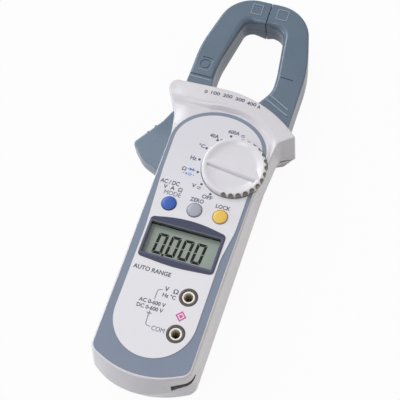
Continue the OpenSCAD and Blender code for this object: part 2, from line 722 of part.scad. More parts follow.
knob_r = knob_d / 2;
knob_z0 = face_z - knob_seat + 0.2;
knob_z1 = face_z + knob_rise;
dish_z = knob_z1 - knob_dish;
rotor_r = 11.4;
rotor_z0 = board_top + 0.9;
rotor_z1 = inner_z - 0.4;
module grip() {
    half = knob_r - knob_rim - 0.1;
    translate([0, 0, dish_z - 0.3]) rotate([90, 0, 90]) translate([0, 0, -half])
        linear_extrude(2 * half)
            polygon([[-1.1, 0], [3.2, 0], [0.6, knob_dish + 0.3], [-0.7, knob_dish + 0.3]]);
}
module selector_knob() color("#dedede") translate([knob_x, knob_y, 0]) {
    difference() {
        rotate_extrude($fn = 96) polygon([
            [0, rotor_z0 + 0.2], [shaft_d / 2, rotor_z0 + 0.2], [shaft_d / 2, knob_z0],
            [knob_r - 0.6, knob_z0], [knob_r, knob_z0 + 0.6], [knob_r, knob_z1 - 0.9],
            [knob_r - 0.3, knob_z1 - 0.25], [knob_r - 0.9, knob_z1],
            [knob_r - knob_rim + 0.5, knob_z1], [knob_r - knob_rim - 0.4, dish_z], [0, dish_z]]);
        for (k = [0 : notch_count - 1]) let (a = (k - (notch_count - 1) / 2) * notch_step)
            translate([(knob_r + 0.25) * cos(a), (knob_r + 0.25) * sin(a), knob_z0 - 1])
                cylinder(r = 0.95, h = knob_z1 - knob_z0 + 2, $fn = 24);
    }
    intersection() {
        grip();
        rod([0, 0], knob_r - knob_rim, dish_z - 1, knob_z1 + 1);
    }
}
module along_detent(from) translate([knob_x, knob_y, (rotor_z0 + rotor_z1) / 2])
    rotate(rest_angle) translate([from, 0, 0]) rotate([0, 90, 0]) children();
module selector_rotor() color("#e6e6e2") difference() {
    rod(knob_at, rotor_r, rotor_z0, rotor_z1);
    rod(knob_at, shaft_d / 2 + 0.02, rotor_z0 - 1, rotor_z1 + 1);
    along_detent(6) cylinder(r = 1.08, h = rotor_r, $fn = fine);
}
module rotor_contacts() color(brass) for (a = [30, 150, 270])
    translate([knob_x, knob_y, 0]) rotate(a) {
        block(6.6, -2.6, rotor_z0 - 0.25, 8, 2.6, rotor_z0);
        for (y = [-2.6, 1.6]) block(6.6, y, board_top + 0.05, 8, y + 1, rotor_z0 - 0.2);
    }
module detent_ball() color(steel) along_detent(rotor_r) sphere(r = 1, $fn = fine);
module detent_spring() color(steel) along_detent(6.3)
    wire(coil(0.75, rotor_r - 7.65, 3), 0.22, n = 6);

// ---- Jacks -------------------------------------------------------------------------------

tube_r = jack_d / 2 + 0.5;
module jack_shrouds() color(dark) for (j = jacks)
    ring(j, shroud_d / 2, liner_d / 2 + 0.02, board_top, face_z + label_rise + 0.15);
module jack_liners() color(cream) for (j = jacks)
    translate([j[0], j[1], 0]) rotate_extrude($fn = fine) polygon([
        [tube_r + 0.02, board_top], [liner_d / 2, board_top],
        [liner_d / 2, face_z + label_rise], [jack_d / 2 + 0.15, face_z + label_rise],
        [jack_d / 2 + 0.15, face_z - 1.4], [tube_r + 0.02, face_z - 1.4]]);
module jack_tube(j) translate([j[0], j[1], 0]) difference() {
    rod([0, 0], tube_r, face_z - jack_depth, face_z - 1.45);
    rod([0, 0], jack_d / 2, face_z - jack_depth + 1, face_z);
}
module common_jack() color(steel) jack_tube(jacks[0]);
module input_jack() color(steel) jack_tube(jacks[1]);

// ---- Moving jaw --------------------------------------------------------------------------

lever_screw_at = [[-(side + 9.6), lever_tip_y + 2.6], [-(side - 0.6), lever_foot + 6]];
module lever_ridges(z0, z1) for (k = [0, 1])
    rod([-(side + 10.6 + 2.6 * k), pivot_y - 14.9 - 4.1 * k], 0.7, z0, z1);
// Half of the moving jaw with its lever between the middle plane and the outer levels
module moving_half(z_mid, z_jaw, z_lever, dir) {
    lo = min(z_mid, z_jaw);
    hi = max(z_mid, z_jaw);
    lev_lo = min(z_mid, z_lever);
    lev_hi = max(z_mid, z_lever);
    difference() {
        union() {
            plate(moving_limb, lo, hi);
            plate(lever_corners, lev_lo, lev_hi);
            lever_ridges(lev_lo, lev_hi);
            rod(pivot, hub_r, lo, hi);
        }
        difference() {
            plate(inset(moving_limb, jaw_wall), min(z_mid - dir, z_jaw - dir * jaw_skin),
                max(z_mid - dir, z_jaw - dir * jaw_skin));
            rod(pivot, hub_r, lo - 1, hi + 1);
        }
        // window for the lower pole
        block(-limb_in - jaw_wall - 0.2, pole_y - core_gap, min(z_mid - dir, z_jaw - dir * jaw_skin),
            -limb_in + 1, pole_y + pole_h + core_gap, max(z_mid - dir, z_jaw - dir * jaw_skin));
        intersection() {
            difference() {
                plate(inset(lever_corners, lever_wall), min(z_mid - dir, z_lever - dir * lever_wall),
                    max(z_mid - dir, z_lever - dir * lever_wall));
                for (s = lever_screw_at) rod(s, 2.6, lo - 1, hi + 1);
            }
            block(-(side + 30), lever_foot - 1, lo - 1, 0, limb_foot - 3.5, hi + 1);
        }
        rod(pivot, pin_r + run_fit, lo - 1, hi + 1);
        if (dir > 0) for (s = lever_screw_at) rod(s, small_screw_r + 0.03, lo - 1, z_lever - 1.2);
        if (dir < 0) for (s = lever_screw_at) {
            rod(s, small_screw_r + 0.15, lo - 1, hi + 1);
            rod(s, small_head_r + 0.2, lo - 1, z_lever + 1.3);
        }
    }
}
module moving_jaw_front() color(blue_shell) moving_half(jaw_mid_z, jaw_z1, lever_z1, 1);
module moving_jaw_rear() color(blue_shell) moving_half(jaw_mid_z, jaw_z0, lever_z0, -1);
module moving_core() color("#7d7f82") plate(moving_core_corners, core_z0, core_z1);
module lever_screws() color(steel)
    for (s = lever_screw_at)
        up_screw(s, small_screw_r, small_head_r, lever_z0 + 1.3, 1.1, lever_z1 - 1.5);

// ---- Fixed jaw ---------------------------------------------------------------------------

module fixed_half(z_mid, z_jaw, dir) difference() {
    plate(fixed_limb, min(z_mid, z_jaw), max(z_mid, z_jaw));
    plate(inset(fixed_limb, jaw_wall), min(z_mid - dir, z_jaw - dir * jaw_skin),
        max(z_mid - dir, z_jaw - dir * jaw_skin));
    // window for the cross limb of the core
    block(fixed_in - 1, pole_y - core_gap, min(z_mid - dir, z_jaw - dir * jaw_skin),
        fixed_in + jaw_wall + 0.2, pole_y + pole_h + core_gap, max(z_mid - dir, z_jaw - dir * jaw_skin));
}
module fixed_jaw_front() color(blue_shell) fixed_half(jaw_mid_z, jaw_z1, 1);
module fixed_jaw_rear() color(blue_shell) fixed_half(jaw_mid_z, jaw_z0, -1);
module fixed_core() color("#7d7f82") plate(fixed_core_corners, core_z0, core_z1);
module field_sensor() color("#2a2c30")
    block(sensor_x, pole_y + 0.3, core_z0 + 1, core_end_x, pole_y + pole_h - 0.3, core_z1 - 1);
module sensor_lead() color("#b03a34") {
    x = sensor_x + sensor_t / 2;
    z = board_z - 1.3;
    wire([[x, pole_y + 0.3, jaw_mid_z], [x, pole_y - 1.5, jaw_mid_z], [x + 1, pole_y - 3.4, jaw_mid_z + 0.6],
        [x + 2.6, pole_y - 6, z - 1.5], [x + 3.6, pole_y - 9, z - 0.3], [x + 4, pole_y - 12, z],
        [x + 4, pole_y - 14, z + 0.3], [x + 4, pole_y - 15, z + 0.7]], 0.5, up = [1, 0, 0.3]);
}
module pivot_pin() color(steel) rod(pivot, pin_r, wall + 0.8, inner_z - 0.3);
spring_r = pin_r + 0.75;
spring_z = jaw_z1 + 0.45;
module return_spring() color(steel) translate([pivot[0], pivot[1], spring_z]) {
    rise = inner_z - 1.6 - jaw_z1 - 0.9;
    body = coil(spring_r, rise, 2);
    foot = [for (k = [0 : 4]) [spring_r, -9 + 2.2 * k, 0]];
    wire(concat(foot, body, [[spring_r + 0.1, 2.2, rise], [spring_r + 0.2, 4.4, rise]]), 0.3, n = 6);
}

// ---- Battery -----------------------------------------------------------------------------

battery_z = cover_t + 1.1 + cell_d / 2 + 0.1;
battery_x = cell_d / 2 + 0.3;
plate_t = 0.4;
module battery_cell(x, end) color("#8a8d92") {
    // the button end faces +Y for end = 1 and -Y for end = -1
    mid = (box_y0 + box_y1) / 2 + end * (spring_l / 2);
    translate([x, mid, battery_z]) rotate([-90 * end, 0, 0]) translate([0, 0, -cell_l / 2])
        rotate_extrude($fn = fine) polygon([
            [0, 0], [cell_d / 2 - 0.4, 0], [cell_d / 2, 0.4], [cell_d / 2, cell_l - 1.6],
            [cell_d / 2 - 0.6, cell_l - 1], [1.9, cell_l - 1], [1.9, cell_l], [0, cell_l]]);
}
module battery_cell_1() battery_cell(-battery_x, 1);
module battery_cell_2() battery_cell(battery_x, -1);
module battery_plates() color(steel) {
    for (e = [-1, 1]) {
        y = e > 0 ? box_y1 - plate_t : box_y0;
        for (x = [-battery_x, battery_x])
            block(x - 4.2, y, battery_z - 4.2, x + 4.2, y + plate_t, battery_z + 4.2);
    }
}
module battery_springs() color(steel) {
    h = spring_l - 0.2;
    translate([-battery_x, box_y0 + plate_t + 0.25, battery_z]) rotate([-90, 0, 0])
        wire(coil(3, h - 0.4, 3), 0.25, n = 6);
    translate([battery_x, box_y1 - plate_t - 0.25, battery_z]) rotate([90, 0, 0])
        wire(coil(3, h - 0.4, 3), 0.25, n = 6);
}
module battery_leads() for (s = [-1, 1]) color(s < 0 ? "#202022" : "#b03a34")
    wire([[s * battery_x, box_y0 - box_wall - 0.6, box_roof - 2], [s * battery_x, box_y0 - box_wall - 0.7, box_roof],
        [s * battery_x, box_y0 - box_wall - 1.1, box_roof + 2], [s * battery_x, box_y0 - box_wall - 1.6, board_z - 1.6],
        [s * battery_x, box_y0 - box_wall - 1.7, board_z - 0.1]], 0.5, up = [1, 0, 0]);
module battery_cover() color(white_shell) difference() {
    union() {
        plate(cover_corners, 0, cover_t);
        plate(inset(box_corners_in, slide_fit), cover_t - 0.2, cover_t + 0.6);
        for (y = [box_y0 + 12, box_y1 - 14])
            block(-box_x + 1, y, cover_t, box_x - 1, y + 2, cover_t + 1.1);
    }
    rod(cover_screw, small_screw_r + 0.25, -1, cover_t + 1);
    rod(cover_screw, small_head_r + 0.2, -1, 0.6);
    for (k = [0 : 4]) block(-7, box_y1 - 1.5 - 2 * k, -1, 7, box_y1 - 0.7 - 2 * k, 0.4);
}
module battery_cover_screw() color(steel)
    up_screw(cover_screw, small_screw_r, small_head_r, 0.6, 0.5, split_z - 5.5);
module case_screws() color(steel)
    for (b = case_bosses) up_screw(b, screw_r, screw_head_r, screw_head_z, 1.6, split_z + 8);

// ---- Drawing -----------------------------------------------------------------------------

front_case();
rear_case();
face_inlay();
face_label();
display_bezel();
display_window();
display_cell();
display_frame();
contact_strip();
main_board();
board_chips();
buzzer();
board_screws();
keypad();
blue_button();
grey_button();
yellow_button();
selector_knob();
selector_rotor();
rotor_contacts();
detent_ball();
detent_spring();
jack_shrouds();
jack_liners();
common_jack();
input_jack();
moving_jaw_front();
moving_jaw_rear();
moving_core();
lever_screws();
fixed_jaw_front();
fixed_jaw_rear();
fixed_core();
field_sensor();
sensor_lead();
pivot_pin();
return_spring();
battery_cell_1();
battery_cell_2();
battery_plates();
battery_springs();
battery_leads();
battery_cover();
battery_cover_screw();
case_screws();
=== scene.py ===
"""Looks of a clamp meter: finishes, refined shells, printed marks, display, light and camera.

Pieces are modelled in millimetres on the outlines of the construction model and scaled to metres
when they are finished. +Z leaves the front face, +Y points to the jaws."""

import math

import bmesh
import bpy
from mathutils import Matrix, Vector
from mathutils.geometry import interpolate_bezier


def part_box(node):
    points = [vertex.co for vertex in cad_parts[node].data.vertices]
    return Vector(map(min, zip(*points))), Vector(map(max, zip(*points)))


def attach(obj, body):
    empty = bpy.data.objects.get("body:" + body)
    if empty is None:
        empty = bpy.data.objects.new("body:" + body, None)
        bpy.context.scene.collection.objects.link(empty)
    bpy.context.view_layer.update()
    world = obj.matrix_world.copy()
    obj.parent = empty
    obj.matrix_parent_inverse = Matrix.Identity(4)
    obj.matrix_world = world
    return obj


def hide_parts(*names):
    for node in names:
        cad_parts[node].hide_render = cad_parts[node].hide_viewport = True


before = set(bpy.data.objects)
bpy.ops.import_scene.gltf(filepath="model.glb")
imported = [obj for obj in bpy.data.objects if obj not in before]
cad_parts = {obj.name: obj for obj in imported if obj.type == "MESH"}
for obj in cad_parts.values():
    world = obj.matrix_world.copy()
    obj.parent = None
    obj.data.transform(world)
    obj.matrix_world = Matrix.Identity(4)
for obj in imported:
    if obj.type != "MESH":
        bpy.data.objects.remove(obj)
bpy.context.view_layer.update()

MM = 0.001
INLAY_EDGE = 0.6  # white plastic beside the inlay
GUARD_SEAT = 15.7  # depth of the fixed jaw in the guard
CROWN = 13  # height of the jaws over their window
LIMB_WIDTH = 12.4
HEEL = 6.5  # from the pivot to the lower end of the moving limb
SCREW_COVER = 1.5  # lever plastic in front of its screws
CELL_HIDDEN = Vector((2.6, 2.8, 0))  # of the display cell, under its surround


# ---- Levels and places, from the frame, in millimetres ----


def low(node):
    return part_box(node)[0] / MM


def high(node):
    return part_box(node)[1] / MM


def middle(node):
    return (low(node) + high(node)) / 2


FACE_Z = high("face_inlay").z
LABEL_Z = high("face_label").z
POCKET_Z = low("face_inlay").z
SPLIT_Z = low("front_case").z
BAND_Z = high("front_case").z
JAW_FRONT = high("moving_jaw_front").z
JAW_MIDDLE = low("moving_jaw_front").z
LEVER_FRONT = high("lever_screws").z + SCREW_COVER
LEVER_BACK = 2 * JAW_MIDDLE - LEVER_FRONT
SIDE = INLAY_EDGE - low("face_inlay").x
FOOT = low("front_case").y - 0.035  # the facets of its arc stop this short
GUARD_TOP = low("fixed_jaw_front").y + GUARD_SEAT
JAW_TOP = high("moving_jaw_front").y
WINDOW_TOP = JAW_TOP - CROWN
JAW_SIDE = high("fixed_jaw_front").x
LIMB_IN = JAW_SIDE - LIMB_WIDTH
TIP_GAP = low("fixed_jaw_front").x - high("moving_jaw_front").x
PIVOT = middle("pivot_pin")
KNOB = middle("selector_knob")
KNOB_R = (high("selector_knob").x - low("selector_knob").x) / 2
KNOB_TOP = high("selector_knob").z
BUTTONS = {name: middle(name + "_button") for name in ("blue", "grey", "yellow")}
JACKS = [middle("common_jack"), middle("input_jack")]
GLASS = Vector((-0.4, (low("display_cell").y + high("display_cell").y) / 2))
GLASS_SIZE = high("display_cell") - low("display_cell") - CELL_HIDDEN


# ---- Outlines: corners of x, y and radius, counter-clockwise ----


def corner_turn(corners, i):
    """Directions before and after a corner, and the angle between them."""
    here = Vector(corners[i][:2])
    before = (here - Vector(corners[i - 1][:2])).normalized()
    after = (Vector(corners[(i + 1) % len(corners)][:2]) - here).normalized()
    return before, after, math.atan2(before.cross(after), before.dot(after))


def drawn_in(corners, inwards):
    """The outline moved inwards, its arcs still round the same centres."""
    moved = []
    for i, (x, y, radius) in enumerate(corners):
        before, after, turn = corner_turn(corners, i)
        m, n = Vector((-before.y, before.x)), Vector((-after.y, after.x))
        place = Vector((x, y)) + (m + n) * inwards / (1 + m.dot(n))
        moved.append((place.x, place.y, max(0, radius - math.copysign(inwards, turn))))
    return moved


def rounded(corners):
    """Points of an outline with its corners rounded, each chord within 0.012 of its arc."""
    sag = 0.012
    count = len(corners)
    turns = [corner_turn(corners, i) for i in range(count)]
    gap = [(Vector(corners[i][:2]) - Vector(corners[i - 1][:2])).length for i in range(count)]
    reach = [c[2] * math.tan(abs(turn[2]) / 2) + 1e-6 for c, turn in zip(corners, turns)]
    bm = bmesh.new()
    for i, (x, y, radius) in enumerate(corners):
        before, _, turn = turns[i]
        following = (i + 1) % count
        room = min(1, 0.999 * gap[i] / (reach[i] + reach[i - 1]),
                   0.999 * gap[following] / (reach[i] + reach[following]))
        radius *= room
        corner = Vector((x, y, 0))
        if radius < 0.02 or abs(turn) < 0.009:
            bm.verts.new(corner)
            continue
        ahead = before.to_3d()
        start = corner - ahead * reach[i] * room
        hub = start + Vector((-ahead.y, ahead.x, 0)) * math.copysign(radius, turn)
        step = min(0.2, 2 * math.acos(max(0, 1 - sag / max(sag, radius))))
        bmesh.ops.spin(
            bm, geom=[bm.verts.new(start)], cent=hub, axis=(0, 0, 1), angle=turn,
            steps=max(2, math.ceil(abs(turn) / step)),
        )
    bmesh.ops.remove_doubles(bm, verts=bm.verts, dist=0.01)
    points = [vert.co.copy() for vert in bm.verts]
    bm.free()
    return points


def four(x0, y0, x1, y1, radius):
    """Corners of a rectangle."""
    return [(x1, y0, radius), (x1, y1, radius), (x0, y1, radius), (x0, y0, radius)]


CASE = [
    (SIDE - 0.35, FOOT + 6.8, 6), (SIDE, 24, 60), (SIDE + 2.45, 44, 45),
    (SIDE + 3.45, GUARD_TOP - 22.3, 4), (SIDE + 10.6, GUARD_TOP - 16.8, 1.2),
    (SIDE - 10.35, GUARD_TOP, 58), (-SIDE - 9, GUARD_TOP - 0.7, 4.5),
    (-SIDE - 9.4, GUARD_TOP - 5.6, 4), (-SIDE - 2.4, GUARD_TOP - 17.9, 15), (-SIDE, 46, 25),
    (-SIDE + 0.35, FOOT + 6.8, 6), (0, FOOT - 4.2, 42),
]
DIAL_Y = 43.8  # where the sides of the inlay end and its arch over the dial starts
ARCH_X, ARCH_Y = SIDE - 0.55, 18.8


def arch():
    """Corners along the upper half of an ellipse."""
    turns = [k * math.pi / 36 for k in range(37)]
    return [(ARCH_X * math.cos(t), DIAL_Y + ARCH_Y * math.sin(t), 0) for t in turns]


INLAY = arch() + [
    (-SIDE + 1.25, -19, 90), (-SIDE + 1.3, FOOT + 7.75, 4.7), (0, FOOT - 2.7, 41),
    (SIDE - 1.3, FOOT + 7.75, 4.7), (SIDE - 1.25, -19, 90),
]
MOVING_LIMB = [
    (-TIP_GAP / 2, JAW_TOP, 0), (-JAW_SIDE + 8, JAW_TOP, 17.5), (-JAW_SIDE, JAW_TOP - 33, 60),
    (-JAW_SIDE, PIVOT.y, 1), (-JAW_SIDE + 6, PIVOT.y - HEEL, 3), (-LIMB_IN, PIVOT.y - HEEL, 1.5),
    (-LIMB_IN, JAW_TOP - 40, 50), (-LIMB_IN + 5.4, WINDOW_TOP, 5), (-TIP_GAP / 2, WINDOW_TOP, 0),
]
FIXED_LIMB = [
    (TIP_GAP / 2, WINDOW_TOP, 0), (LIMB_IN - 5.4, WINDOW_TOP, 8), (LIMB_IN - 1.4, JAW_TOP - 41, 50),
    (LIMB_IN - 1.2, GUARD_TOP + 9.6, 12), (LIMB_IN - 7, GUARD_TOP - 0.1, 8),
    (LIMB_IN - 7, GUARD_TOP - GUARD_SEAT, 1.5), (JAW_SIDE, GUARD_TOP - GUARD_SEAT, 1.5),
    (JAW_SIDE, JAW_TOP - 34, 70), (JAW_SIDE - 8.7, JAW_TOP, 19), (TIP_GAP / 2, JAW_TOP, 0),
]
LEVER = [
    (-JAW_SIDE, PIVOT.y, 1), (-SIDE - 5.2, PIVOT.y - 3.6, 6), (-SIDE - 8.4, PIVOT.y - 11.2, 14),
    (-SIDE - 18.6, PIVOT.y - 26.4, 2.4), (-SIDE - 11.6, PIVOT.y - 33.7, 14),
    (-SIDE - 2.6, PIVOT.y - 37.3, 8), (-SIDE + 3, PIVOT.y - 37.2, 1.5),
    (-SIDE + 4.2, PIVOT.y - 16, 20), (-SIDE + 6.5, PIVOT.y - 8.5, 8), (-LIMB_IN, PIVOT.y - HEEL, 1),
    (-LIMB_IN, PIVOT.y + 2, 1),
]


# ---- Building ----


def flat(*points):
    """Places on the plane z = 0."""
    return [Vector((x, y, 0)) for x, y in points]


def outward(bm):
    """Turns every face of closed shapes outwards."""
    bmesh.ops.recalc_face_normals(bm, faces=bm.faces)


def slab(loop, z0, z1):
    """A closed plate on a loop of points, between two levels."""
    bm = bmesh.new()
    base = bm.faces.new([bm.verts.new((p.x, p.y, z0)) for p in loop])
    raised = bmesh.ops.extrude_face_region(bm, geom=[base])["geom"]
    bmesh.ops.translate(
        bm, vec=(0, 0, z1 - z0), verts=[g for g in raised if isinstance(g, bmesh.types.BMVert)]
    )
    outward(bm)
    return bm


def plate(corners, z0, z1):
    """A closed plate on an outline."""
    return slab(rounded(corners), z0, z1)


def box(x0, y0, z0, x1, y1, z1):
    return slab(flat((x0, y0), (x1, y0), (x1, y1), (x0, y1)), z0, z1)


def turned(profile, centre, steps):
    """A solid of revolution about Z from a profile of (radius, height) points."""
    bm = bmesh.new()
    verts = [bm.verts.new((r, 0, h)) for r, h in profile]
    edges = [bm.edges.new(pair) for pair in zip(verts, verts[1:])]
    bmesh.ops.spin(
        bm, geom=verts + edges, cent=(0, 0, 0), axis=(0, 0, 1), angle=math.tau, steps=steps,
        use_merge=True,
    )
    bmesh.ops.remove_doubles(bm, verts=bm.verts, dist=1e-4)
    bmesh.ops.holes_fill(bm, edges=[e for e in bm.edges if e.is_boundary])
    outward(bm)
    bmesh.ops.translate(bm, vec=(centre[0], centre[1], 0), verts=bm.verts)
    return bm


def rod(centre, radius, z0, z1, steps=64):
    return turned([(0, z0), (radius, z0), (radius, z1), (0, z1)], centre, steps)


def tube(inside, outside, z0, z1, centre, steps=72):
    """A ring with a rectangular section, from its two radii."""
    edge = [(inside, z0), (outside, z0), (outside, z1), (inside, z1), (inside, z0)]
    return turned(edge, centre, steps)


def soften(bm, edges, width, segments):
    bmesh.ops.bevel(
        bm, geom=list(edges), offset=width, offset_type="OFFSET", segments=segments, profile=0.5,
        affect="EDGES", clamp_overlap=False, material=-1,
    )
    return bm


def soften_rim(bm, z, width, segments, test=lambda middle: True):
    """Bevels a flat plate's rim at one level, wherever an edge's middle passes a test."""
    return soften(bm, [
        e for e in bm.edges
        if all(abs(v.co.z - z) < 1e-3 for v in e.verts)
        and len(e.link_faces) == 2 and e.calc_face_angle(0) > 0.5
        and test((e.verts[0].co + e.verts[1].co) / 2)
    ], width, segments)


def poured(bm, name="part"):
    """A mesh of what bm holds. The bmesh itself is used up."""
    mesh = bpy.data.meshes.new(name)
    bm.to_mesh(mesh)
    bm.free()
    return mesh


def placed(name, data):
    """A new object in the scene."""
    made = bpy.data.objects.new(name, data)
    bpy.context.scene.collection.objects.link(made)
    return made


def joined(*parts):
    """Several meshes as one, each still closed by itself."""
    made = bmesh.new()
    for part in parts:
        mesh = poured(part)
        made.from_mesh(mesh)
        bpy.data.meshes.remove(mesh)
    return made


def carved(bm, cutter, how="DIFFERENCE"):
    """The solid bm without the solid cutter, made one with it, or where the two overlap."""
    objects = [placed("part", poured(part)) for part in (bm, cutter)]
    tool = objects[0].modifiers.new("carve", "BOOLEAN")
    tool.operation = how
    tool.solver = "EXACT"
    tool.object = objects[1]
    seen = objects[0].evaluated_get(bpy.context.evaluated_depsgraph_get())
    made = bmesh.new()
    made.from_mesh(seen.to_mesh())
    seen.to_mesh_clear()
    for part in objects:
        mesh = part.data
        bpy.data.objects.remove(part)
        bpy.data.meshes.remove(mesh)
    bmesh.ops.remove_doubles(made, verts=made.verts, dist=1e-5)
    return made


def finish(bm, name, paint, body, replaces=(), slot=None, sharp=32):
    """Makes a piece of a mesh in millimetres: scales it, paints it and lets it ride on its body."""
    bmesh.ops.scale(bm, vec=(MM,) * 3, verts=bm.verts)
    outward(bm)
    mesh = poured(bm, name)
    mesh.shade_smooth()
    mesh.set_sharp_from_angle(angle=math.radians(sharp))
    for each in paint if isinstance(paint, tuple) else (paint,):
        mesh.materials.append(each)
    piece = placed(name, mesh)
    even = piece.modifiers.new("even", "WEIGHTED_NORMAL")
    even.keep_sharp = True
    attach(piece, body)
    if replaces:
        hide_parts(*replaces)


# ---- Finishes ----


class Wire:
    """A shader socket that arithmetic can be written with."""

    def __init__(self, paint, socket):
        self.paint = paint
        self.socket = socket

    def _with(self, how, *values):
        return self.paint.node("ShaderNodeMath", {"operation": how}, dict(enumerate(values)))

    def __add__(self, other):
        return self._with("ADD", self, other)

    def __sub__(self, other):
        return self._with("SUBTRACT", self, other)

    def __rsub__(self, other):
        return self._with("SUBTRACT", other, self)

    def __mul__(self, other):
        return self._with("MULTIPLY", self, other)

    def __truediv__(self, other):
        return self._with("DIVIDE", self, other)

    def __abs__(self):
        return self._with("ABSOLUTE", self)

    __radd__ = __add__
    __rmul__ = __mul__

    def swing(self, width):
        """A noise of 0 to 1 as a swing of this width about nothing."""
        return (self - 0.5) * width

    def over(self, limit):
        return self._with("GREATER_THAN", self, limit)

    def waved(self, step):
        """0 to 1 and back over every two steps of this value."""
        return self._with("PINGPONG", self / step, 1)

    def clipped(self):
        return self.paint.node("ShaderNodeClamp", {}, {"Value": self})


class Paint:
    """The nodes of a material, or of the world, under construction."""

    def __init__(self, name, world=False):
        self.owner = (bpy.data.worlds if world else bpy.data.materials).new(name)
        self.owner.use_nodes = True
        self.tree = self.owner.node_tree
        self.tree.nodes.clear()
        self.place = self.node("ShaderNodeTexCoord", {}, {}, "Object")

    def node(self, kind, settings, sockets, result=0):
        """Adds a node: its settings first, then the values or links of its sockets."""
        made = self.tree.nodes.new(kind)
        for key, value in settings.items():
            if key == "stops":
                ramp = made.color_ramp.elements
                while len(ramp) < len(value):
                    ramp.new(0.5)
                for stop, (position, colour) in zip(ramp, value):
                    stop.position, stop.color = position, colour
            else:
                setattr(made, key, value)
        for key, value in sockets.items():
            if isinstance(value, Wire):
                self.tree.links.new(value.socket, made.inputs[key])
            else:
                made.inputs[key].default_value = value
        return Wire(self, made.outputs[result]) if made.outputs else None

    def noise(self, size, detail=2.0, roughness=0.5, stretch=(1, 1, 1)):
        """Noise of 0 to 1 with features of about this size in millimetres."""
        place = self.place
        if stretch != (1, 1, 1):
            place = self.node("ShaderNodeMapping", {}, {"Vector": place, "Scale": stretch})
        return self.node(
            "ShaderNodeTexNoise", {},
            {"Vector": place, "Scale": 1 / (size * MM), "Detail": detail, "Roughness": roughness},
        )

    def mixed(self, factor, first, second):
        sockets = {0: factor, 6: first, 7: second}
        return self.node("ShaderNodeMix", {"data_type": "RGBA"}, sockets, 2)

    def clouded(self, cloud, fine, first, second):
        """A colour that drifts between two with a wide noise, and a little with a fine one."""
        return self.mixed((cloud.swing(1.6) + fine.swing(0.6) + 0.5).clipped(), first, second)

    def along(self, axis):
        """Place along an axis, in millimetres."""
        return self.node("ShaderNodeSeparateXYZ", {}, {0: self.place}, axis) / MM

    def bump(self, height, depth):
        """A normal from a height of 0 to 1 that stands for this depth in millimetres."""
        sockets = {"Height": height, "Distance": depth * MM, "Strength": 1.0}
        return self.node("ShaderNodeBump", {}, sockets)

    def background_rays(self):
        """1 for rays that meet a pale backdrop: seen plainly, in a gloss or through a window."""
        path = self.tree.nodes.new("ShaderNodeLightPath")
        kinds = ("Is Camera Ray", "Is Glossy Ray", "Is Transmission Ray")
        seen, glossy, through = [Wire(self, path.outputs[kind]) for kind in kinds]
        return (seen + glossy + through).clipped()

    def done(self, surface):
        self.node("ShaderNodeOutputMaterial", {}, {"Surface": surface})
        return self.owner

    def coated(self, colour, roughness, **sockets):
        """The finished material of an opaque surface."""
        named = {key.replace("_", " "): value for key, value in sockets.items()}
        return self.done(self.node(
            "ShaderNodeBsdfPrincipled", {}, {"Base Color": colour, "Roughness": roughness, **named},
        ))


def tone(red, green, blue, lighter=1.0):
    """A colour given as it shows on a screen, as scene values."""
    shares = [c / 255 for c in (red, green, blue)]
    made = [c / 12.92 if c <= 0.04 else ((c + 0.055) / 1.055) ** 2.4 for c in shares]
    return tuple(min(1, c * lighter) for c in made) + (1,)


def plastic(name, colour, roughness, grain=0.35, depth=0.006, drift=0.035):
    """Moulded plastic: spark-eroded grain, a faint drift of the colour and rubbed patches."""
    paint = Paint(name)
    cloud = paint.noise(16, 3)
    fine = paint.noise(grain, 2, 0.6)
    dark, pale = [tone(*colour, lighter=lighter) for lighter in (1 - drift, 1 + drift)]
    base = paint.clouded(cloud, fine, dark, pale)
    rubbed = roughness + cloud.swing(0.14) + fine.swing(0.1)
    return paint.coated(base, rubbed, Normal=paint.bump(fine, depth))


def metal(name, colour, roughness, stretch=(1, 1, 1)):
    """Bare metal with drawing marks along the least stretched axis."""
    paint = Paint(name)
    marks = paint.noise(0.5, 3, 0.6, stretch)
    base = paint.mixed(paint.noise(6, 3), tone(*colour, lighter=0.8), tone(*colour, lighter=1.05))
    dull = roughness + marks.swing(0.2)
    return paint.coated(base, dull, Metallic=1.0, Normal=paint.bump(marks, 0.01))


def printed(name, colour, roughness=0.5, shine=0.5):
    """Printing ink with the slight mottle of a pad print."""
    paint = Paint(name)
    mottle = paint.noise(0.5, 2)
    base = paint.mixed(mottle, tone(*colour, lighter=0.85), tone(*colour, lighter=1.15))
    return paint.coated(base, roughness + mottle.swing(0.1), Specular_IOR_Level=shine)


def laminated(name):
    """Core steel: stacked sheets with dark varnish between them."""
    paint = Paint(name)
    sheet = paint.along("Z").waved(0.18)
    seam = sheet.over(0.82)
    base = paint.mixed(seam, tone(150, 152, 158), tone(60, 58, 56))
    return paint.coated(base, 0.4 + seam * 0.3, Metallic=0.9, Normal=paint.bump(sheet, 0.05))


def circuit(name):
    """Solder mask over copper tracks."""
    paint = Paint(name)
    across = (paint.along("X") + paint.noise(9, 1).swing(6)).waved(0.9)
    track = across.over(0.62) * paint.noise(5, 1).over(0.5)
    base = paint.mixed(track, tone(32, 92, 60), tone(62, 128, 84))
    return paint.coated(base, 0.35 + paint.noise(0.6) * 0.1, Normal=paint.bump(track, 0.04))


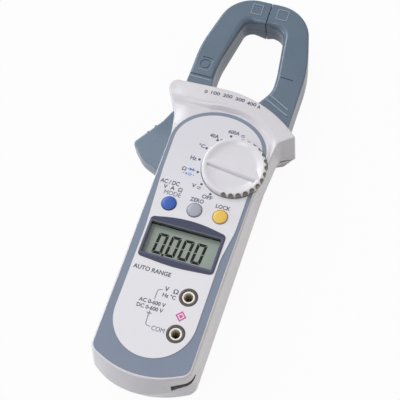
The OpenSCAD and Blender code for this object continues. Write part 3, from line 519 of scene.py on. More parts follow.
def jaw_plastic(name):
    """Jaw and lever plastic with a matt grain, paler low on the jaws and most on the lever."""
    paint = Paint(name)
    cloud, fine = paint.noise(14, 3), paint.noise(0.4, 2, 0.6)
    base = paint.clouded(cloud, fine, tone(84, 101, 118), tone(90, 107, 124))
    low_on_jaw = ((106 - paint.along("Y")) / 32).clipped() * 0.7
    base = paint.mixed(low_on_jaw, base, tone(96, 112, 128))
    on_lever = ((60 - paint.along("Y") + cloud.swing(8)) / 14).clipped()
    base = paint.mixed(on_lever, base, tone(110, 125, 141))
    rubbed = 0.29 + cloud.swing(0.14) + fine.swing(0.1)
    return paint.coated(base, rubbed, Specular_IOR_Level=0.4, Normal=paint.bump(fine, 0.008))


def label_film(name):
    """Printed polyester film, a little darker round the dial, with a faint mottle."""
    paint = Paint(name)
    cloud, fine = paint.noise(16, 3), paint.noise(0.8, 2, 0.6)
    upward = ((paint.along("Y") + 5 + cloud.swing(10)) / 50).clipped()
    base = paint.mixed(upward, tone(219, 218, 223), tone(207, 206, 213))
    return paint.coated(base, 0.36 + cloud.swing(0.1), Normal=paint.bump(fine, 0.002))


def slanting(paint):
    """0 to 1 and back across each of the fine slanting lines round the display."""
    return (paint.along("X") - paint.along("Y") * 0.8).waved(0.38)


def bezel_plastic(name):
    """Display surround: slate plastic with fine lines near the window and on its side walls, and
    the walls of its window near-black as painted shade.
    """
    paint = Paint(name)
    cloud, fine = paint.noise(12, 3), paint.noise(0.35, 2, 0.6)
    base = paint.mixed((cloud * 0.6 + fine * 0.4).clipped(), tone(54, 58, 80), tone(64, 68, 92))
    past_x = abs(paint.along("X") - GLASS.x) - GLASS_SIZE.x / 2
    past_y = abs(paint.along("Y") - GLASS.y) - GLASS_SIZE.y / 2
    slant = slanting(paint).over(0.5)
    near = 1 - past_x.over(0.9) - (1 - past_x.over(0.9)) * past_y.over(0.9)
    base = paint.mixed(near * slant * 0.45, base, tone(128, 132, 146))
    # Walls of the window opening: near-black as painted shade, with the fine lines on the side
    # walls.
    side_wall = (1 - past_x.over(0.06)) * past_x.over(-0.06)
    outside = (past_x.over(0.06) + past_y.over(0.06)).clipped()
    wall = paint.mixed(side_wall * slant * 0.6, tone(6, 6, 8), tone(190, 194, 202))
    base = paint.mixed(outside, wall, base)
    rubbed = 0.36 + cloud.swing(0.1)
    return paint.coated(base, rubbed, Specular_IOR_Level=0.3, Normal=paint.bump(fine, 0.005))


def mask_print_and_painted_shadow(name):
    """Printed mask round the display: fine slanting lines, with a band of painted shadow in black
    along its top.
    """
    paint = Paint(name)
    slant = slanting(paint)
    lines = paint.mixed(slant.over(0.5), tone(104, 110, 116), tone(172, 177, 184))
    # painted shadow: black along the top edge of the part that shows
    top = (paint.along("Y") - GLASS.y - GLASS_SIZE.y / 2 + 0.12).over(0)
    base = paint.mixed(top, lines, tone(16, 17, 19))
    return paint.coated(base, 0.4 + slant * 0.1, Specular_IOR_Level=0.1)


def crystal(name):
    """Liquid crystal cell: grey-green reflector, lighter to the right, with a fine weave."""
    paint = Paint(name)
    weave = paint.noise(0.25, 2)
    across = (paint.along("X") + 16) / 32
    factor = (paint.noise(14, 2).swing(0.3) + weave.swing(0.3) + across).clipped()
    base = paint.mixed(factor, tone(151, 160, 151), tone(158, 169, 159))
    return paint.coated(base, 0.4 + weave.swing(0.1), Normal=paint.bump(weave, 0.004))


def clear_window(name):
    """Clear acrylic: what lies below it shows, with a faint gloss that grows in slanting views."""
    paint = Paint(name)
    dull = 0.08 + paint.noise(7, 3) * 0.08
    grey = (0.35, 0.35, 0.35, 1)
    gloss = paint.node("ShaderNodeBsdfGlossy", {}, {"Color": grey, "Roughness": dull})
    clear = paint.node("ShaderNodeBsdfTransparent", {}, {"Color": (0.97, 0.98, 0.975, 1)})
    slant = paint.node("ShaderNodeLayerWeight", {}, {"Blend": 0.5}, "Facing")
    edge = 0.035 + slant * slant * slant * slant * 0.7
    return paint.done(paint.node("ShaderNodeMixShader", {}, {0: edge, 1: clear, 2: gloss}))


WHITE = plastic("case_plastic", (204, 202, 207), 0.3)
BLUE = jaw_plastic("jaw_plastic")
INLAY_PAINT = plastic("inlay_plastic", (115, 127, 146), 0.5, grain=0.5, depth=0.01, drift=0.05)
LABEL_PAINT = label_film("label_film")
BEZEL_PAINT = bezel_plastic("bezel_plastic")
KNOB_PAINT = plastic("knob_plastic", (212, 211, 216), 0.27, depth=0.003, drift=0.02)
# Darker finish for the walls and floors of the knob's notches: painted shade in the notches.
NOTCH_SHADE_PAINT = plastic("notch_painted_shade", (150, 144, 134), 0.5, drift=0.08)
# Dark finish for the inside of the strap slot: painted shade in the slot.
SLOT_SHADE_PAINT = plastic("slot_painted_shade", (90, 84, 82), 0.6, drift=0.08)
# Paler plastic of the raised lines on the jaws: partly wear on their tops, partly a painted
# highlight.
PALE_LINE_PAINT = plastic("jaw_line_plastic", (134, 148, 163), 0.36, drift=0.04)
SHROUD_PAINT = plastic("shroud_plastic", (64, 60, 56), 0.4, drift=0.08)
LINER_PAINT = plastic("liner_plastic", (238, 231, 222), 0.38)
BUTTON_PAINTS = {
    name: plastic(name + "_button_plastic", colour, 0.34, depth=0.004) for name, colour in
    (("blue", (32, 82, 166)), ("grey", (158, 162, 176)), ("yellow", (223, 183, 80)))
}
FRAME_PAINT = plastic("frame_plastic", (205, 206, 205), 0.5)
BLACK_PAINT = plastic("chip_plastic", (40, 41, 45), 0.5, drift=0.1)
RUBBER_PAINT = plastic("keypad_rubber", (200, 203, 207), 0.7, depth=0.01)
STRIP_PAINT = plastic("strip_rubber", (206, 128, 142), 0.65)
LEAD_PAINT = plastic("lead_sheath", (176, 58, 52), 0.45)
CELL_PAINT = metal("battery_jacket", (176, 180, 186), 0.35, (4, 0.4, 4))
JACK_PAINT = metal("jack_metal", (138, 126, 108), 0.42)
THROAT_PAINT = plastic("jack_throat", (176, 166, 148), 0.45, drift=0.08)
MASK_PAINT = mask_print_and_painted_shadow("mask_print_and_painted_shadow")
STEEL_PAINT = metal("steel_bright", (196, 198, 202), 0.28, (6, 1, 1))
BRASS_PAINT = metal("brass_bright", (212, 178, 98), 0.3)
CORE_PAINT = laminated("core_sheets")
BOARD_PAINT = circuit("board_mask")
CRYSTAL_PAINT = crystal("crystal_reflector")
CLEAR_PAINT = clear_window("clear_acrylic")
SLATE_INK = printed("slate_ink", (64, 66, 86))
BLUE_INK = printed("blue_ink", (58, 110, 196))
MAGENTA_INK = printed("magenta_ink", (196, 74, 146))
# Dark rings round the buttons: painted shadow of the gap round each button.
GAP_SHADOW_INKS = {
    name: printed(name + "_ring_shade", colour) for name, colour in
    (("blue", (38, 54, 112)), ("grey", (66, 70, 80)), ("yellow", (122, 104, 70)))
}
SEGMENT_INK = printed("segment_black", (8, 9, 9), 0.6, 0.05)

KEPT = (
    (INLAY_PAINT, "face_inlay"), (LABEL_PAINT, "face_label"), (BEZEL_PAINT, "display_bezel"),
    (CLEAR_PAINT, "display_window"), (CRYSTAL_PAINT, "display_cell"),
    (STRIP_PAINT, "contact_strip"), (FRAME_PAINT, "display_frame selector_rotor"),
    (BOARD_PAINT, "main_board"), (BLACK_PAINT, "board_chips buzzer field_sensor"),
    (RUBBER_PAINT, "keypad"), (BRASS_PAINT, "rotor_contacts"), (WHITE, "battery_cover"),
    (JACK_PAINT, "common_jack input_jack"), (CORE_PAINT, "moving_core fixed_core"),
    (LEAD_PAINT, "sensor_lead battery_leads"), (CELL_PAINT, "battery_cell_1 battery_cell_2"),
    (STEEL_PAINT, "board_screws detent_ball detent_spring lever_screws pivot_pin return_spring"),
    (STEEL_PAINT, "battery_plates battery_springs battery_cover_screw case_screws"),
)
for paint, nodes in KEPT:
    for name in nodes.split():
        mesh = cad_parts[name].data
        for place in range(len(mesh.materials)):
            mesh.materials[place] = paint


# ---- Front half of the case ----


def flowing(*points):
    """A smooth line through points."""
    knots = flat(*points)
    ends = [2 * knots[0] - knots[1]] + knots + [2 * knots[-1] - knots[-2]]
    line = []
    for a, b, c, d in zip(ends, ends[1:], ends[2:], ends[3:]):
        line += interpolate_bezier(b, b + (c - a) / 6, c - (d - b) / 6, c, 10)[:-1]
    return line + [knots[-1]]


CREST_LINE = flowing(
    (-36, 67.6), (-31, 67.5), (-18, 66.9), (-10, 66.9), (0.3, 66.5), (10.3, 65.4), (18.3, 61.4),
    (23.9, 57.3), (26.6, 54.2), (27.1, 51.3), (26.9, 48.3), (26.5, 45.3), (26.3, 42.3), (26.3, 37),
)
LEFT_LINE = flowing(
    (-34.4, 76), (-33.8, 70), (-31.6, 65), (-29, 61), (-26.6, 57), (-25.2, 52), (-24.4, 46),
    (-24.3, 36),
)
CORE_DEPTH = 4
CORE_LINE = rounded(drawn_in(CASE, CORE_DEPTH))
CORE_LINE.append(CORE_LINE[0])
WALL_DRAFT = 0.23  # outwards for each millimetre towards the split
WING_TUCK = 3.8  # how far the wall runs in behind the wing of the guard
RIM_WIDTH, RIM_FALL = 0.8, 2.0  # softened edge of the face
FACE_WALL, SIDE_WALL = 2.4, 2
STRAP_SLOT = 7.7  # height of the strap slot in the lower right corner
JAW_PLAY = 0.35  # round the moving jaw and its lever
PIVOT_BOSS = 2.8
KNOB_GAP = 0.4
BUTTON_R, BUTTON_GAP = 3.4, 0.12
JACK_HOLE = 4.385
BAND_START = 38.0  # where the raised band begins
BAND_STEP = 0.7


def beyond(place, line):
    """Distance of a place from a line, positive on the line's right."""
    best, right = 1e9, 1
    for a, b in zip(line, line[1:]):
        run = b - a
        t = min(1, max(0, (place - a).dot(run) / run.length_squared))
        gap = (place - a - run * t).length
        if gap < best:
            best, right = gap, run.y * (place.x - a.x) - run.x * (place.y - a.y)
    return math.copysign(best, right)


def eased(value, start, end):
    """A smooth rise from 0 at the start to 1 at the end."""
    t = min(1, max(0, (value - start) / (end - start)))
    return t * t * (3 - 2 * t)


def band_height(place):
    """Height of the raised guard band over the face at a place."""
    top = BAND_Z - FACE_Z - 1.1 * eased(-place.x, 2, 34)
    inside = beyond(place, CREST_LINE)
    from_dial = place - Vector((0, DIAL_Y, 0))
    reach = math.hypot(from_dial.x / ARCH_X, from_dial.y / ARCH_Y)
    rim = max(0, from_dial.length * (1 - 1 / max(reach, 0.1)) - 0.5)
    width = min(5.4, inside + rim + 0.01)
    s = min(1, max(0, inside / max(width, 0.5))) ** 1.6
    height = top * (1 - s) ** 2 * (1 + 2 * s)
    edge = max(0, 1 - abs(beyond(place, LEFT_LINE)) / 8)
    fall = 1.5 * eased(place.y, 44, 60) * (1 - eased(place.y, 67, 73))
    return height - fall * edge * edge


def shaped_wall(bm):
    """Shapes the straight outer wall: drafted at its lower left, widest where the halves meet, and
    drawn in behind the wing of the guard. The twisted faces that this leaves are split."""
    for vert in bm.verts:
        core, gap = nearest(vert.co, CORE_LINE)
        x, y, z = vert.co
        if not CORE_DEPTH - 1 < gap < CORE_DEPTH + 0.4 or y > GUARD_TOP - 8:
            continue
        depth = (FACE_Z - SPLIT_Z) * max(0, z) / SPLIT_Z
        if z > SPLIT_Z - 0.2:
            depth = min(FACE_Z - z, FACE_Z - SPLIT_Z)
        out = WALL_DRAFT * depth * (1 - 0.8 * eased(y, FOOT + 1, FOOT + 11))
        out *= (1 - eased(y, FOOT + 11, FOOT + 28)) * (1 - 0.7 * eased(x, -2, SIDE - 8))
        out *= 1 - eased(x, SIDE - 10, SIDE - 4)
        behind = max(0, 1 - z / SPLIT_Z)
        from_wing = math.hypot(x - SIDE - 5.5, y - GUARD_TOP + 21)
        out -= WING_TUCK * behind * (1 - eased(from_wing, 3, 12))
        way = (vert.co - core).xy.normalized() * out
        vert.co.x += way.x
        vert.co.y += way.y
    bmesh.ops.connect_verts_nonplanar(bm, angle_limit=0.0005, faces=bm.faces)


def nearest(place, line):
    """The nearest point of a line, level with a place, and how far it is. Except on the core
    line, straight stretches over 8 long don't count."""
    best, gap = None, 1e9
    for a, b in zip(line, line[1:]):
        run = b - a
        if run.length > 8 and line is not CORE_LINE:
            continue
        t = min(1, max(0, (place - a).xy.dot(run.xy) / run.xy.length_squared))
        spot = a + run * t
        if (place - spot).xy.length < gap:
            best, gap = spot, (place - spot).xy.length
    return best, gap


def front_shell():
    """The front half: face with its raised guard band, openings, strap slot and the room inside."""
    bm = plate(CASE, SPLIT_Z, FACE_Z)
    soften_rim(bm, FACE_Z, RIM_WIDTH, 5)
    for vert in bm.verts:
        if vert.co.z > FACE_Z - RIM_WIDTH - 0.01:
            vert.co.z = FACE_Z - (FACE_Z - vert.co.z) * RIM_FALL / RIM_WIDTH
    shaped_wall(bm)
    soften_rim(bm, SPLIT_Z, 0.08, 1)

    def cut(place, normal, above):
        faces = [f for f in bm.faces
                 if min(v.co.z for v in f.verts) > FACE_Z - RIM_FALL - 0.01
                 and f.calc_center_median().y > above]
        edges = {e for f in faces for e in f.edges}
        verts = {v for f in faces for v in f.verts}
        bmesh.ops.bisect_plane(
            bm, geom=[*verts, *edges, *faces], dist=0.02, plane_co=place, plane_no=normal
        )

    cut((0, BAND_START, 0), (0, 1, 0), -99)
    for k in range(1, int((GUARD_TOP - BAND_START) / BAND_STEP) + 1):
        cut((0, BAND_START + k * BAND_STEP, 0), (0, 1, 0), BAND_START)
    columns = int(34.6 / BAND_STEP)
    for k in range(-columns, columns + 1):
        cut((k * BAND_STEP, 0, 0), (1, 0, 0), BAND_START)
    bmesh.ops.dissolve_degenerate(bm, dist=0.01, edges=bm.edges)
    for vert in bm.verts:
        if vert.co.z > FACE_Z - RIM_FALL - 0.01 and vert.co.y > BAND_START:
            vert.co.z += band_height(Vector((vert.co.x, vert.co.y, 0)))

    # room inside, with the corner left solid round the strap slot
    inner = FACE_Z - FACE_WALL
    slot_top = FACE_Z - 8
    slot_foot = slot_top - STRAP_SLOT
    solid = box(SIDE - 11, FOOT - 3, slot_foot - 0.2, SIDE + 3, FOOT + 12.9, slot_top + 1.6)
    bm = carved(bm, carved(plate(drawn_in(CASE, SIDE_WALL), SPLIT_Z - 1, inner), solid))
    strap = box(SIDE - 9, FOOT - 6, slot_foot, SIDE + 6, FOOT + 11.3, slot_top)
    for vert in strap.verts:
        if vert.co.z < slot_top - 1 and vert.co.y > FOOT:
            vert.co.z += 5.2
    strap = carved(strap, plate(drawn_in(CASE, 3.2), slot_top - 9, slot_top + 1))
    lever_slot = box(-SIDE - 14, PIVOT.y - 38.1, LEVER_BACK - JAW_PLAY,
                     -SIDE + 3, PIVOT.y - 0.4, LEVER_FRONT + JAW_PLAY)
    seat = plate(drawn_in(FIXED_LIMB, -0.12), SPLIT_Z - 1, JAW_FRONT + 0.12)
    bm = carved(bm, joined(plate(INLAY, POCKET_Z, BAND_Z + 2), strap, lever_slot, seat))
    bm = carved(bm, joined(rod(KNOB, KNOB_R + KNOB_GAP, FACE_Z - 1.1, BAND_Z + 2, 96), jaw_slot()))
    holes = [rod(KNOB, 3.04, inner - 1, FACE_Z - 0.5)]
    holes += [rod(p, BUTTON_R + BUTTON_GAP, inner - 1, FACE_Z) for p in BUTTONS.values()]
    holes += [rod(p, JACK_HOLE, inner - 1, FACE_Z) for p in JACKS]
    half = GLASS_SIZE / 2 + Vector((0.6, 0.6, 0))
    x0, y0, x1, y1 = GLASS.x - half.x, GLASS.y - half.y, GLASS.x + half.x, GLASS.y + half.y
    holes.append(plate(four(x0, y0, x1, y1, 1), inner - 1, FACE_Z))
    holes.append(rod(PIVOT, PIVOT_BOSS + JAW_PLAY, SPLIT_Z - 1, JAW_FRONT + JAW_PLAY))
    bm = carved(bm, joined(*holes))
    # Faces inside the strap slot, apart from the outer wall, take the second finish: painted shade
    # in the slot.
    for face in bm.faces:
        spot = face.calc_center_median()
        in_slot = (spot.x > SIDE - 9.1 and spot.y < FOOT + 11.5
                   and slot_foot - 0.1 < spot.z < slot_top + 0.1)
        outer_wall = nearest(spot, CORE_LINE)[1] > CORE_DEPTH - 0.3 and abs(face.normal.z) < 0.5
        if in_slot and not outer_wall:
            face.material_index = 1
    return bm


def jaw_slot():
    """Room that the moving jaw swings in, in the top of the guard."""
    opened = math.radians(22)
    reach = JAW_SIDE + PIVOT.x + JAW_PLAY
    way = Vector((math.cos(opened), math.sin(opened), 0))
    low_end = Vector((PIVOT.x, PIVOT.y, 0)) - reach * way
    high_end = low_end + 14 * Vector((-way.y, way.x, 0))
    foot, inner = PIVOT.y - HEEL - JAW_PLAY, -LIMB_IN + JAW_PLAY
    edge = flat((-JAW_SIDE + 6 - JAW_PLAY, foot), (inner, foot), (inner, high_end.y))
    return slab([low_end, *edge, high_end], SPLIT_Z - 1, JAW_FRONT + JAW_PLAY)


finish(
    front_shell(), "case_front_shell", (WHITE, SLOT_SHADE_PAINT), "case", ["front_case"],
    "case_white", 34,
)


# ---- Back half of the case ----


def copied(node):
    """A construction node's solid in millimetres, its flat faces whole."""
    bm = bmesh.new()
    bm.from_mesh(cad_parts[node].data)
    bmesh.ops.remove_doubles(bm, verts=bm.verts, dist=1e-7)
    bmesh.ops.scale(bm, vec=(1 / MM,) * 3, verts=bm.verts)
    bmesh.ops.dissolve_limit(bm, angle_limit=math.radians(0.4), verts=bm.verts, edges=bm.edges)
    return bm


rear_half = copied("rear_case")
shaped_wall(rear_half)
finish(rear_half, "case_rear_shell", WHITE, "case", ["rear_case"], "case_white", 40)


# ---- Jaws and lever ----

JAW_WALL, JAW_SKIN = 1.6, 2.4
WINDOW_EDGE = 1.9


def limb(corners, tip_edge):
    """The front half of a jaw limb: softened outside, more so along the window and most round its
    top, then cut at the tip."""
    past = -math.copysign(1.5, tip_edge)
    long = [((past if abs(x) < 1 else x), y, r) for x, y, r in corners]
    bm = plate(long, JAW_MIDDLE, JAW_FRONT)

    def faces_window(p):
        return abs(p.x) < LIMB_IN + 0.1 and p.y < WINDOW_TOP + 0.05

    foot = PIVOT.y
    soften_rim(bm, JAW_FRONT, 1.1, 4, lambda p: p.y > foot and not faces_window(p))
    soften_rim(bm, JAW_FRONT, WINDOW_EDGE, 6, lambda p: p.y > foot and faces_window(p))
    soften_rim(bm, JAW_MIDDLE, 0.18, 1, lambda p: p.y > foot)
    window = [p for p in rounded(long) if faces_window(p)]
    for vert in bm.verts:
        x, y, z = vert.co
        if JAW_FRONT - WINDOW_EDGE - 0.01 < z and abs(x) < LIMB_IN + 2 and y > 100:
            near, gap = nearest(vert.co, window)
            if gap < WINDOW_EDGE + 0.05:
                grown = 1 + 0.7 * eased(near.y, JAW_TOP - 22, JAW_TOP - 14)
                vert.co.x = near.x + (x - near.x) * grown
                vert.co.y = near.y + (y - near.y) * grown
                vert.co.z = JAW_FRONT - (JAW_FRONT - z) * grown
    cut = bmesh.ops.bisect_plane(
        bm, geom=[*bm.verts, *bm.edges, *bm.faces], dist=1e-4, plane_co=(tip_edge, 0, 0),
        plane_no=(math.copysign(1, past), 0, 0), clear_outer=True,
    )["geom_cut"]
    rim = [e for e in cut if isinstance(e, bmesh.types.BMEdge)]
    bmesh.ops.holes_fill(bm, edges=rim)
    outward(bm)
    return soften(bm, [e for e in rim if e.is_valid], 0.22, 2)


def hollow(corners, wall, z1):
    """The room inside a limb or lever with a wall of this thickness."""
    return plate(drawn_in(corners, wall), JAW_MIDDLE - 1, z1)


LEVER_SCREWS = flat((-SIDE - 9.6, PIVOT.y - 23.8), (-SIDE + 0.6, PIVOT.y - 31.3))


def moving_half():
    """The front half of the moving jaw and its lever, with two finger ridges."""
    lever = plate(LEVER, JAW_MIDDLE, LEVER_FRONT)
    for level, width, segments in ((LEVER_FRONT, 0.9, 4), (JAW_MIDDLE, 0.18, 1)):
        soften_rim(lever, level, width, segments, lambda p: p.x < -SIDE + 2.5 and p.y < PIVOT.y - 3)
    body = carved(limb(MOVING_LIMB, -TIP_GAP / 2), lever, "UNION")
    for k in range(2):
        place = (-SIDE - 10.6 - 2.6 * k, PIVOT.y - 14.9 - 4.1 * k)
        body = carved(body, rod(place, 0.7, JAW_MIDDLE, LEVER_FRONT - 0.4, 24), "UNION")
    body = carved(body, rod(PIVOT, PIVOT_BOSS, JAW_MIDDLE, JAW_FRONT), "UNION")
    room = hollow(MOVING_LIMB, JAW_WALL, JAW_FRONT - JAW_SKIN)
    body = carved(body, carved(room, rod(PIVOT, PIVOT_BOSS, 0, 30)))
    grip = hollow(LEVER, 1.8, LEVER_FRONT - 1.8)
    grip = carved(grip, box(-60, -20, 0, 0, PIVOT.y - 10, 30), "INTERSECT")
    grip = carved(grip, joined(*[rod(p, 2.6, 0, 30) for p in LEVER_SCREWS]))
    return carved(body, joined(grip, rod(PIVOT, 1.54, 0, 30)))


def turned_over(bm):
    """The mirror image behind the middle plane of the jaws."""
    bmesh.ops.scale(bm, vec=(1, 1, -1), verts=bm.verts)
    bmesh.ops.translate(bm, vec=(0, 0, 2 * JAW_MIDDLE), verts=bm.verts)
    outward(bm)
    return bm


def fixed_half():
    """The front half of the fixed jaw."""
    return carved(limb(FIXED_LIMB, TIP_GAP / 2), hollow(FIXED_LIMB, JAW_WALL, JAW_FRONT - JAW_SKIN))


def bar(start, end, width, z0, z1):
    """A straight bar between two places, as seen from the front."""
    a, b = Vector((*start, 0)), Vector((*end, 0))
    run = (b - a).normalized()
    across = Vector((-run.y, run.x, 0)) * width / 2
    return slab([a - across, b - across, b + across, a + across], z0, z1)


def plain_frame(x0, y0, x1, y1):
    """A thin raised square with nothing in it."""
    ring = box(x0, y0, JAW_FRONT - 0.1, x1, y1, JAW_FRONT + 0.22)
    return carved(ring, box(x0 + 0.4, y0 + 0.4, JAW_FRONT - 1, x1 - 0.4, y1 - 0.4, JAW_FRONT + 1))


def left_marks(body):
    """Raised collar of the moving jaw, and over it a groove, a round line and a short one."""
    left, right = -JAW_SIDE + 0.1, -LIMB_IN + 0.7
    band = [(left, PIVOT.y + 9, 0), (right, PIVOT.y + 9, 0),
            (right, PIVOT.y + 16, 0.8), (left, PIVOT.y + 16, 0.8)]
    collar = plate(band, JAW_FRONT - 6, JAW_FRONT + 0.3)
    soften_rim(collar, JAW_FRONT + 0.3, 0.55, 3)
    groove = bar((-JAW_SIDE - 1, PIVOT.y + 17.1), (-LIMB_IN + 2, PIVOT.y + 16.9), 1.5,
                 JAW_FRONT - 0.5, JAW_FRONT + 2)
    ring = tube(2.1, 2.6, JAW_FRONT - 0.35, JAW_FRONT + 1, (-22.1, 90.3), 48)
    line = bar((-24.4, 94.2), (-19.3, 94.0), 0.45, JAW_FRONT - 0.4, JAW_FRONT + 1)
    return joined(carved(body, joined(groove, ring, line)), collar)


def right_marks(body):
    """Engraved line of the fixed jaw."""
    return carved(body, bar((16.5, 92.9), (22.8, 92.6), 0.5, JAW_FRONT - 0.45, JAW_FRONT + 1))


def rib(start, end, width, height, z=0.0):
    """A thin raised rib on the front of a jaw."""
    top = JAW_FRONT + z + height
    made = bar(start, end, width, JAW_FRONT + z - 0.2, top)
    return soften_rim(made, top, min(width, height) * 0.4, 2)


front = moving_half()
rear = turned_over(front.copy())
front = left_marks(front)
front = carved(front, joined(*[rod(p, 0.98, 0, LEVER_FRONT - 1.2) for p in LEVER_SCREWS]))
rear = carved(rear, joined(*[rod(p, 2.0, 0, LEVER_BACK + 1.3) for p in LEVER_SCREWS]))
rear = carved(rear, joined(*[rod(p, 1.1, LEVER_BACK, 30) for p in LEVER_SCREWS]))
finish(front, "moving_jaw_front_shell", BLUE, "jaw_lever", ["moving_jaw_front"], "jaw_blue", 34)
finish(rear, "moving_jaw_rear_shell", BLUE, "jaw_lever", ["moving_jaw_rear"], "jaw_blue", 34)
front = fixed_half()
rear = turned_over(front.copy())
front = right_marks(front)
finish(front, "fixed_jaw_front_shell", BLUE, "case", ["fixed_jaw_front"], "jaw_blue", 34)
moving_lines = joined(
    plain_frame(-9.4, 125, -3.8, 131.2),
    rib((-18.6, 93.0), (-18.9, 87.0), 0.35, 0.2), rib((-24.6, 86.9), (-19.3, 86.6), 0.35, 0.2),
    rib((-JAW_SIDE + 1.2, PIVOT.y + 15.9), (-LIMB_IN - 0.4, PIVOT.y + 15.7), 0.5, 0.12, 0.3),
)
finish(moving_lines, "moving_jaw_lines", PALE_LINE_PAINT, "jaw_lever")
fixed_lines = joined(
    plain_frame(3.9, 125, 9.8, 131.2),
    rib((14.1, 81.9), (25.2, 75.9), 0.7, 0.3), rib((13.4, 78.9), (25.7, 72.7), 0.7, 0.3),
)
finish(fixed_lines, "fixed_jaw_lines", PALE_LINE_PAINT, "case")
finish(rear, "fixed_jaw_rear_shell", BLUE, "case", ["fixed_jaw_rear"], "jaw_blue", 34)


# ---- Selector knob, buttons and jacks ----


def ridge_solid(left, right, half):
    """A bar along X over the knob's middle, from a profile of (y, height) at each end. Its right
    end lies lower on the dial than its left one."""
    ridge = bmesh.new()
    ends = [
        [ridge.verts.new((KNOB.x + x, KNOB.y + y + drop, KNOB_TOP + z)) for y, z in profile]
        for x, drop, profile in ((-half, -1.0, left), (half, -3.3, right))
    ]
    rims = [[ridge.edges.new((a, b)) for a, b in zip(end, end[1:] + end[:1])] for end in ends]
    bmesh.ops.bridge_loops(ridge, edges=rims[0] + rims[1])
    bmesh.ops.holes_fill(ridge, edges=[e for e in ridge.edges if e.is_boundary])
    outward(ridge)
    return ridge


def round_dial(angle, radius):
    """A place round the knob's middle, by its angle in degrees."""
    turn = math.radians(angle)
    return KNOB.to_2d() + radius * Vector((math.cos(turn), math.sin(turn)))


NOTCHES = [round_dial(13 * k, KNOB_R + 0.1) for k in range(-7, 8)]
NOTCH_R = 1.3
NOTCH_FLOOR = KNOB_TOP - 1.7


def knob_disc():
    """The knob: a dished disc with notches round its right half and a slanting finger ridge."""
    seat, dish = FACE_Z - 0.9, -1.0
    foot = low("selector_knob").z
    rim = [(1.4, 0), (1, -0.03), (0.6, -0.17), (0.28, -0.5), (0.07, -1.1), (0, -1.8)]
    slope = [(1.9, -0.03), (2.3, -0.12), (2.7, -0.32), (3.2, -0.55), (3.8, -0.76), (4.5, -0.9),
             (5.3, -0.98), (6, dish)]
    profile = [(0, foot), (3, foot), (3, seat), (KNOB_R - 0.5, seat),
               (KNOB_R - 0.12, seat + 0.15), (KNOB_R, seat + 0.5)]
    profile += [(KNOB_R - r, KNOB_TOP + z) for r, z in rim[::-1] + slope]
    disc = turned(profile + [(0, KNOB_TOP + dish)], KNOB, 144)
    disc = carved(disc, joined(*[rod(p, NOTCH_R, NOTCH_FLOOR, KNOB_TOP + 1, 28) for p in NOTCHES]))

    # finger ridge: a groove at its steep side, running out in a slope on the other side
    groove, half = dish - 0.6, KNOB_R - 1.5
    trench, ridge = [], []
    for down, up in ((1.0, 3.4), (2.2, 4.3)):
        trench.append([(-down - 0.02, groove), (0.2, groove), (0.2, 2), (-down - 1.6, 2)])
        ridge.append([
            (-down - 0.1, groove - 0.4), (up, groove - 0.4), (up, dish + 0.01),
            (up * 0.6, dish * 0.72), (up * 0.3, dish * 0.32), (0.5, dish * 0.1), (0.1, dish * 0.02),
            (-down * 0.2, dish * 0.06), (-down * 0.4, dish * 0.28), (-down * 0.65, dish * 0.72),
            (-down * 0.85, dish * 1.2), (-down, groove + 0.05), (-down - 0.1, groove),
        ])
    for profiles, inset, how in ((trench, 2.7, "DIFFERENCE"), (ridge, 1.8, "UNION")):
        room = rod(KNOB, KNOB_R - inset, FACE_Z, KNOB_TOP + 1, 96)
        disc = carved(disc, carved(ridge_solid(*profiles, half), room, "INTERSECT"), how)
    # Walls and floors of the notches take the second finish: painted shade in the notches.
    for face in disc.faces:
        place = face.calc_center_median()
        of_notch = abs(face.normal.z) < 0.3 or abs(place.z - NOTCH_FLOOR) < 0.03
        if of_notch and min((place.to_2d() - p).length for p in NOTCHES) < NOTCH_R + 0.02:
            face.material_index = 1
    return disc


finish(
    knob_disc(), "selector_disc", (KNOB_PAINT, NOTCH_SHADE_PAINT), "selector", ["selector_knob"],
    "knob_white", 40,
)

for name, paint in BUTTON_PAINTS.items():
    node = name + "_button"
    r, top, foot = BUTTON_R, high(node).z, low(node).z
    lip = top - 3.6
    cap = turned([
        (0, foot), (r + 0.7, foot), (r + 0.7, lip), (r, lip), (r, top - 0.6),
        (r - 0.08, top - 0.35), (r - 0.28, top - 0.17), (r - 0.6, top - 0.08),
        (r - 1.6, top - 0.02), (0, top),
    ], BUTTONS[name], 72)
    finish(cap, node + "_cap", paint, name + "_key", [node], "button_" + name, 40)


def jack_rings(node, profile):
    """A ring in each jack, from its profile over a construction node's foot and top."""
    foot, top = low(node).z, high(node).z
    loop = profile(foot, top)
    return joined(*[turned(loop + loop[:1], p, 72) for p in JACKS])


shrouds = jack_rings("jack_shrouds", lambda foot, top: [
    (2.97, foot), (JACK_HOLE - 0.06, foot), (JACK_HOLE - 0.06, top - 0.4), (4.2, top - 0.12),
    (3.95, top), (3.3, top), (3.05, top - 0.12), (2.97, top - 0.35),
])
liners = jack_rings("jack_liners", lambda foot, top: [
    (2.52, foot), (2.95, foot), (2.95, top - 0.25), (2.87, top - 0.07), (2.7, top), (2.4, top),
    (2.22, top - 0.1), (2.15, top - 0.4), (2.15, FACE_Z - 1.4), (2.52, FACE_Z - 1.4),
])
throats = joined(*[tube(1.8, 1.97, FACE_Z - 9, FACE_Z - 1.2, p) for p in JACKS])
finish(throats, "jack_throats", THROAT_PAINT, "case")
finish(shrouds, "jack_shroud_rings", SHROUD_PAINT, "case", ["jack_shrouds"], "shroud_dark", 40)
finish(liners, "jack_liner_sleeves", LINER_PAINT, "case", ["jack_liners"], "liner_cream", 40)


# ---- Display ----

CELL_TOP = high("display_cell").z
BAR_Z = CELL_TOP + 0.03


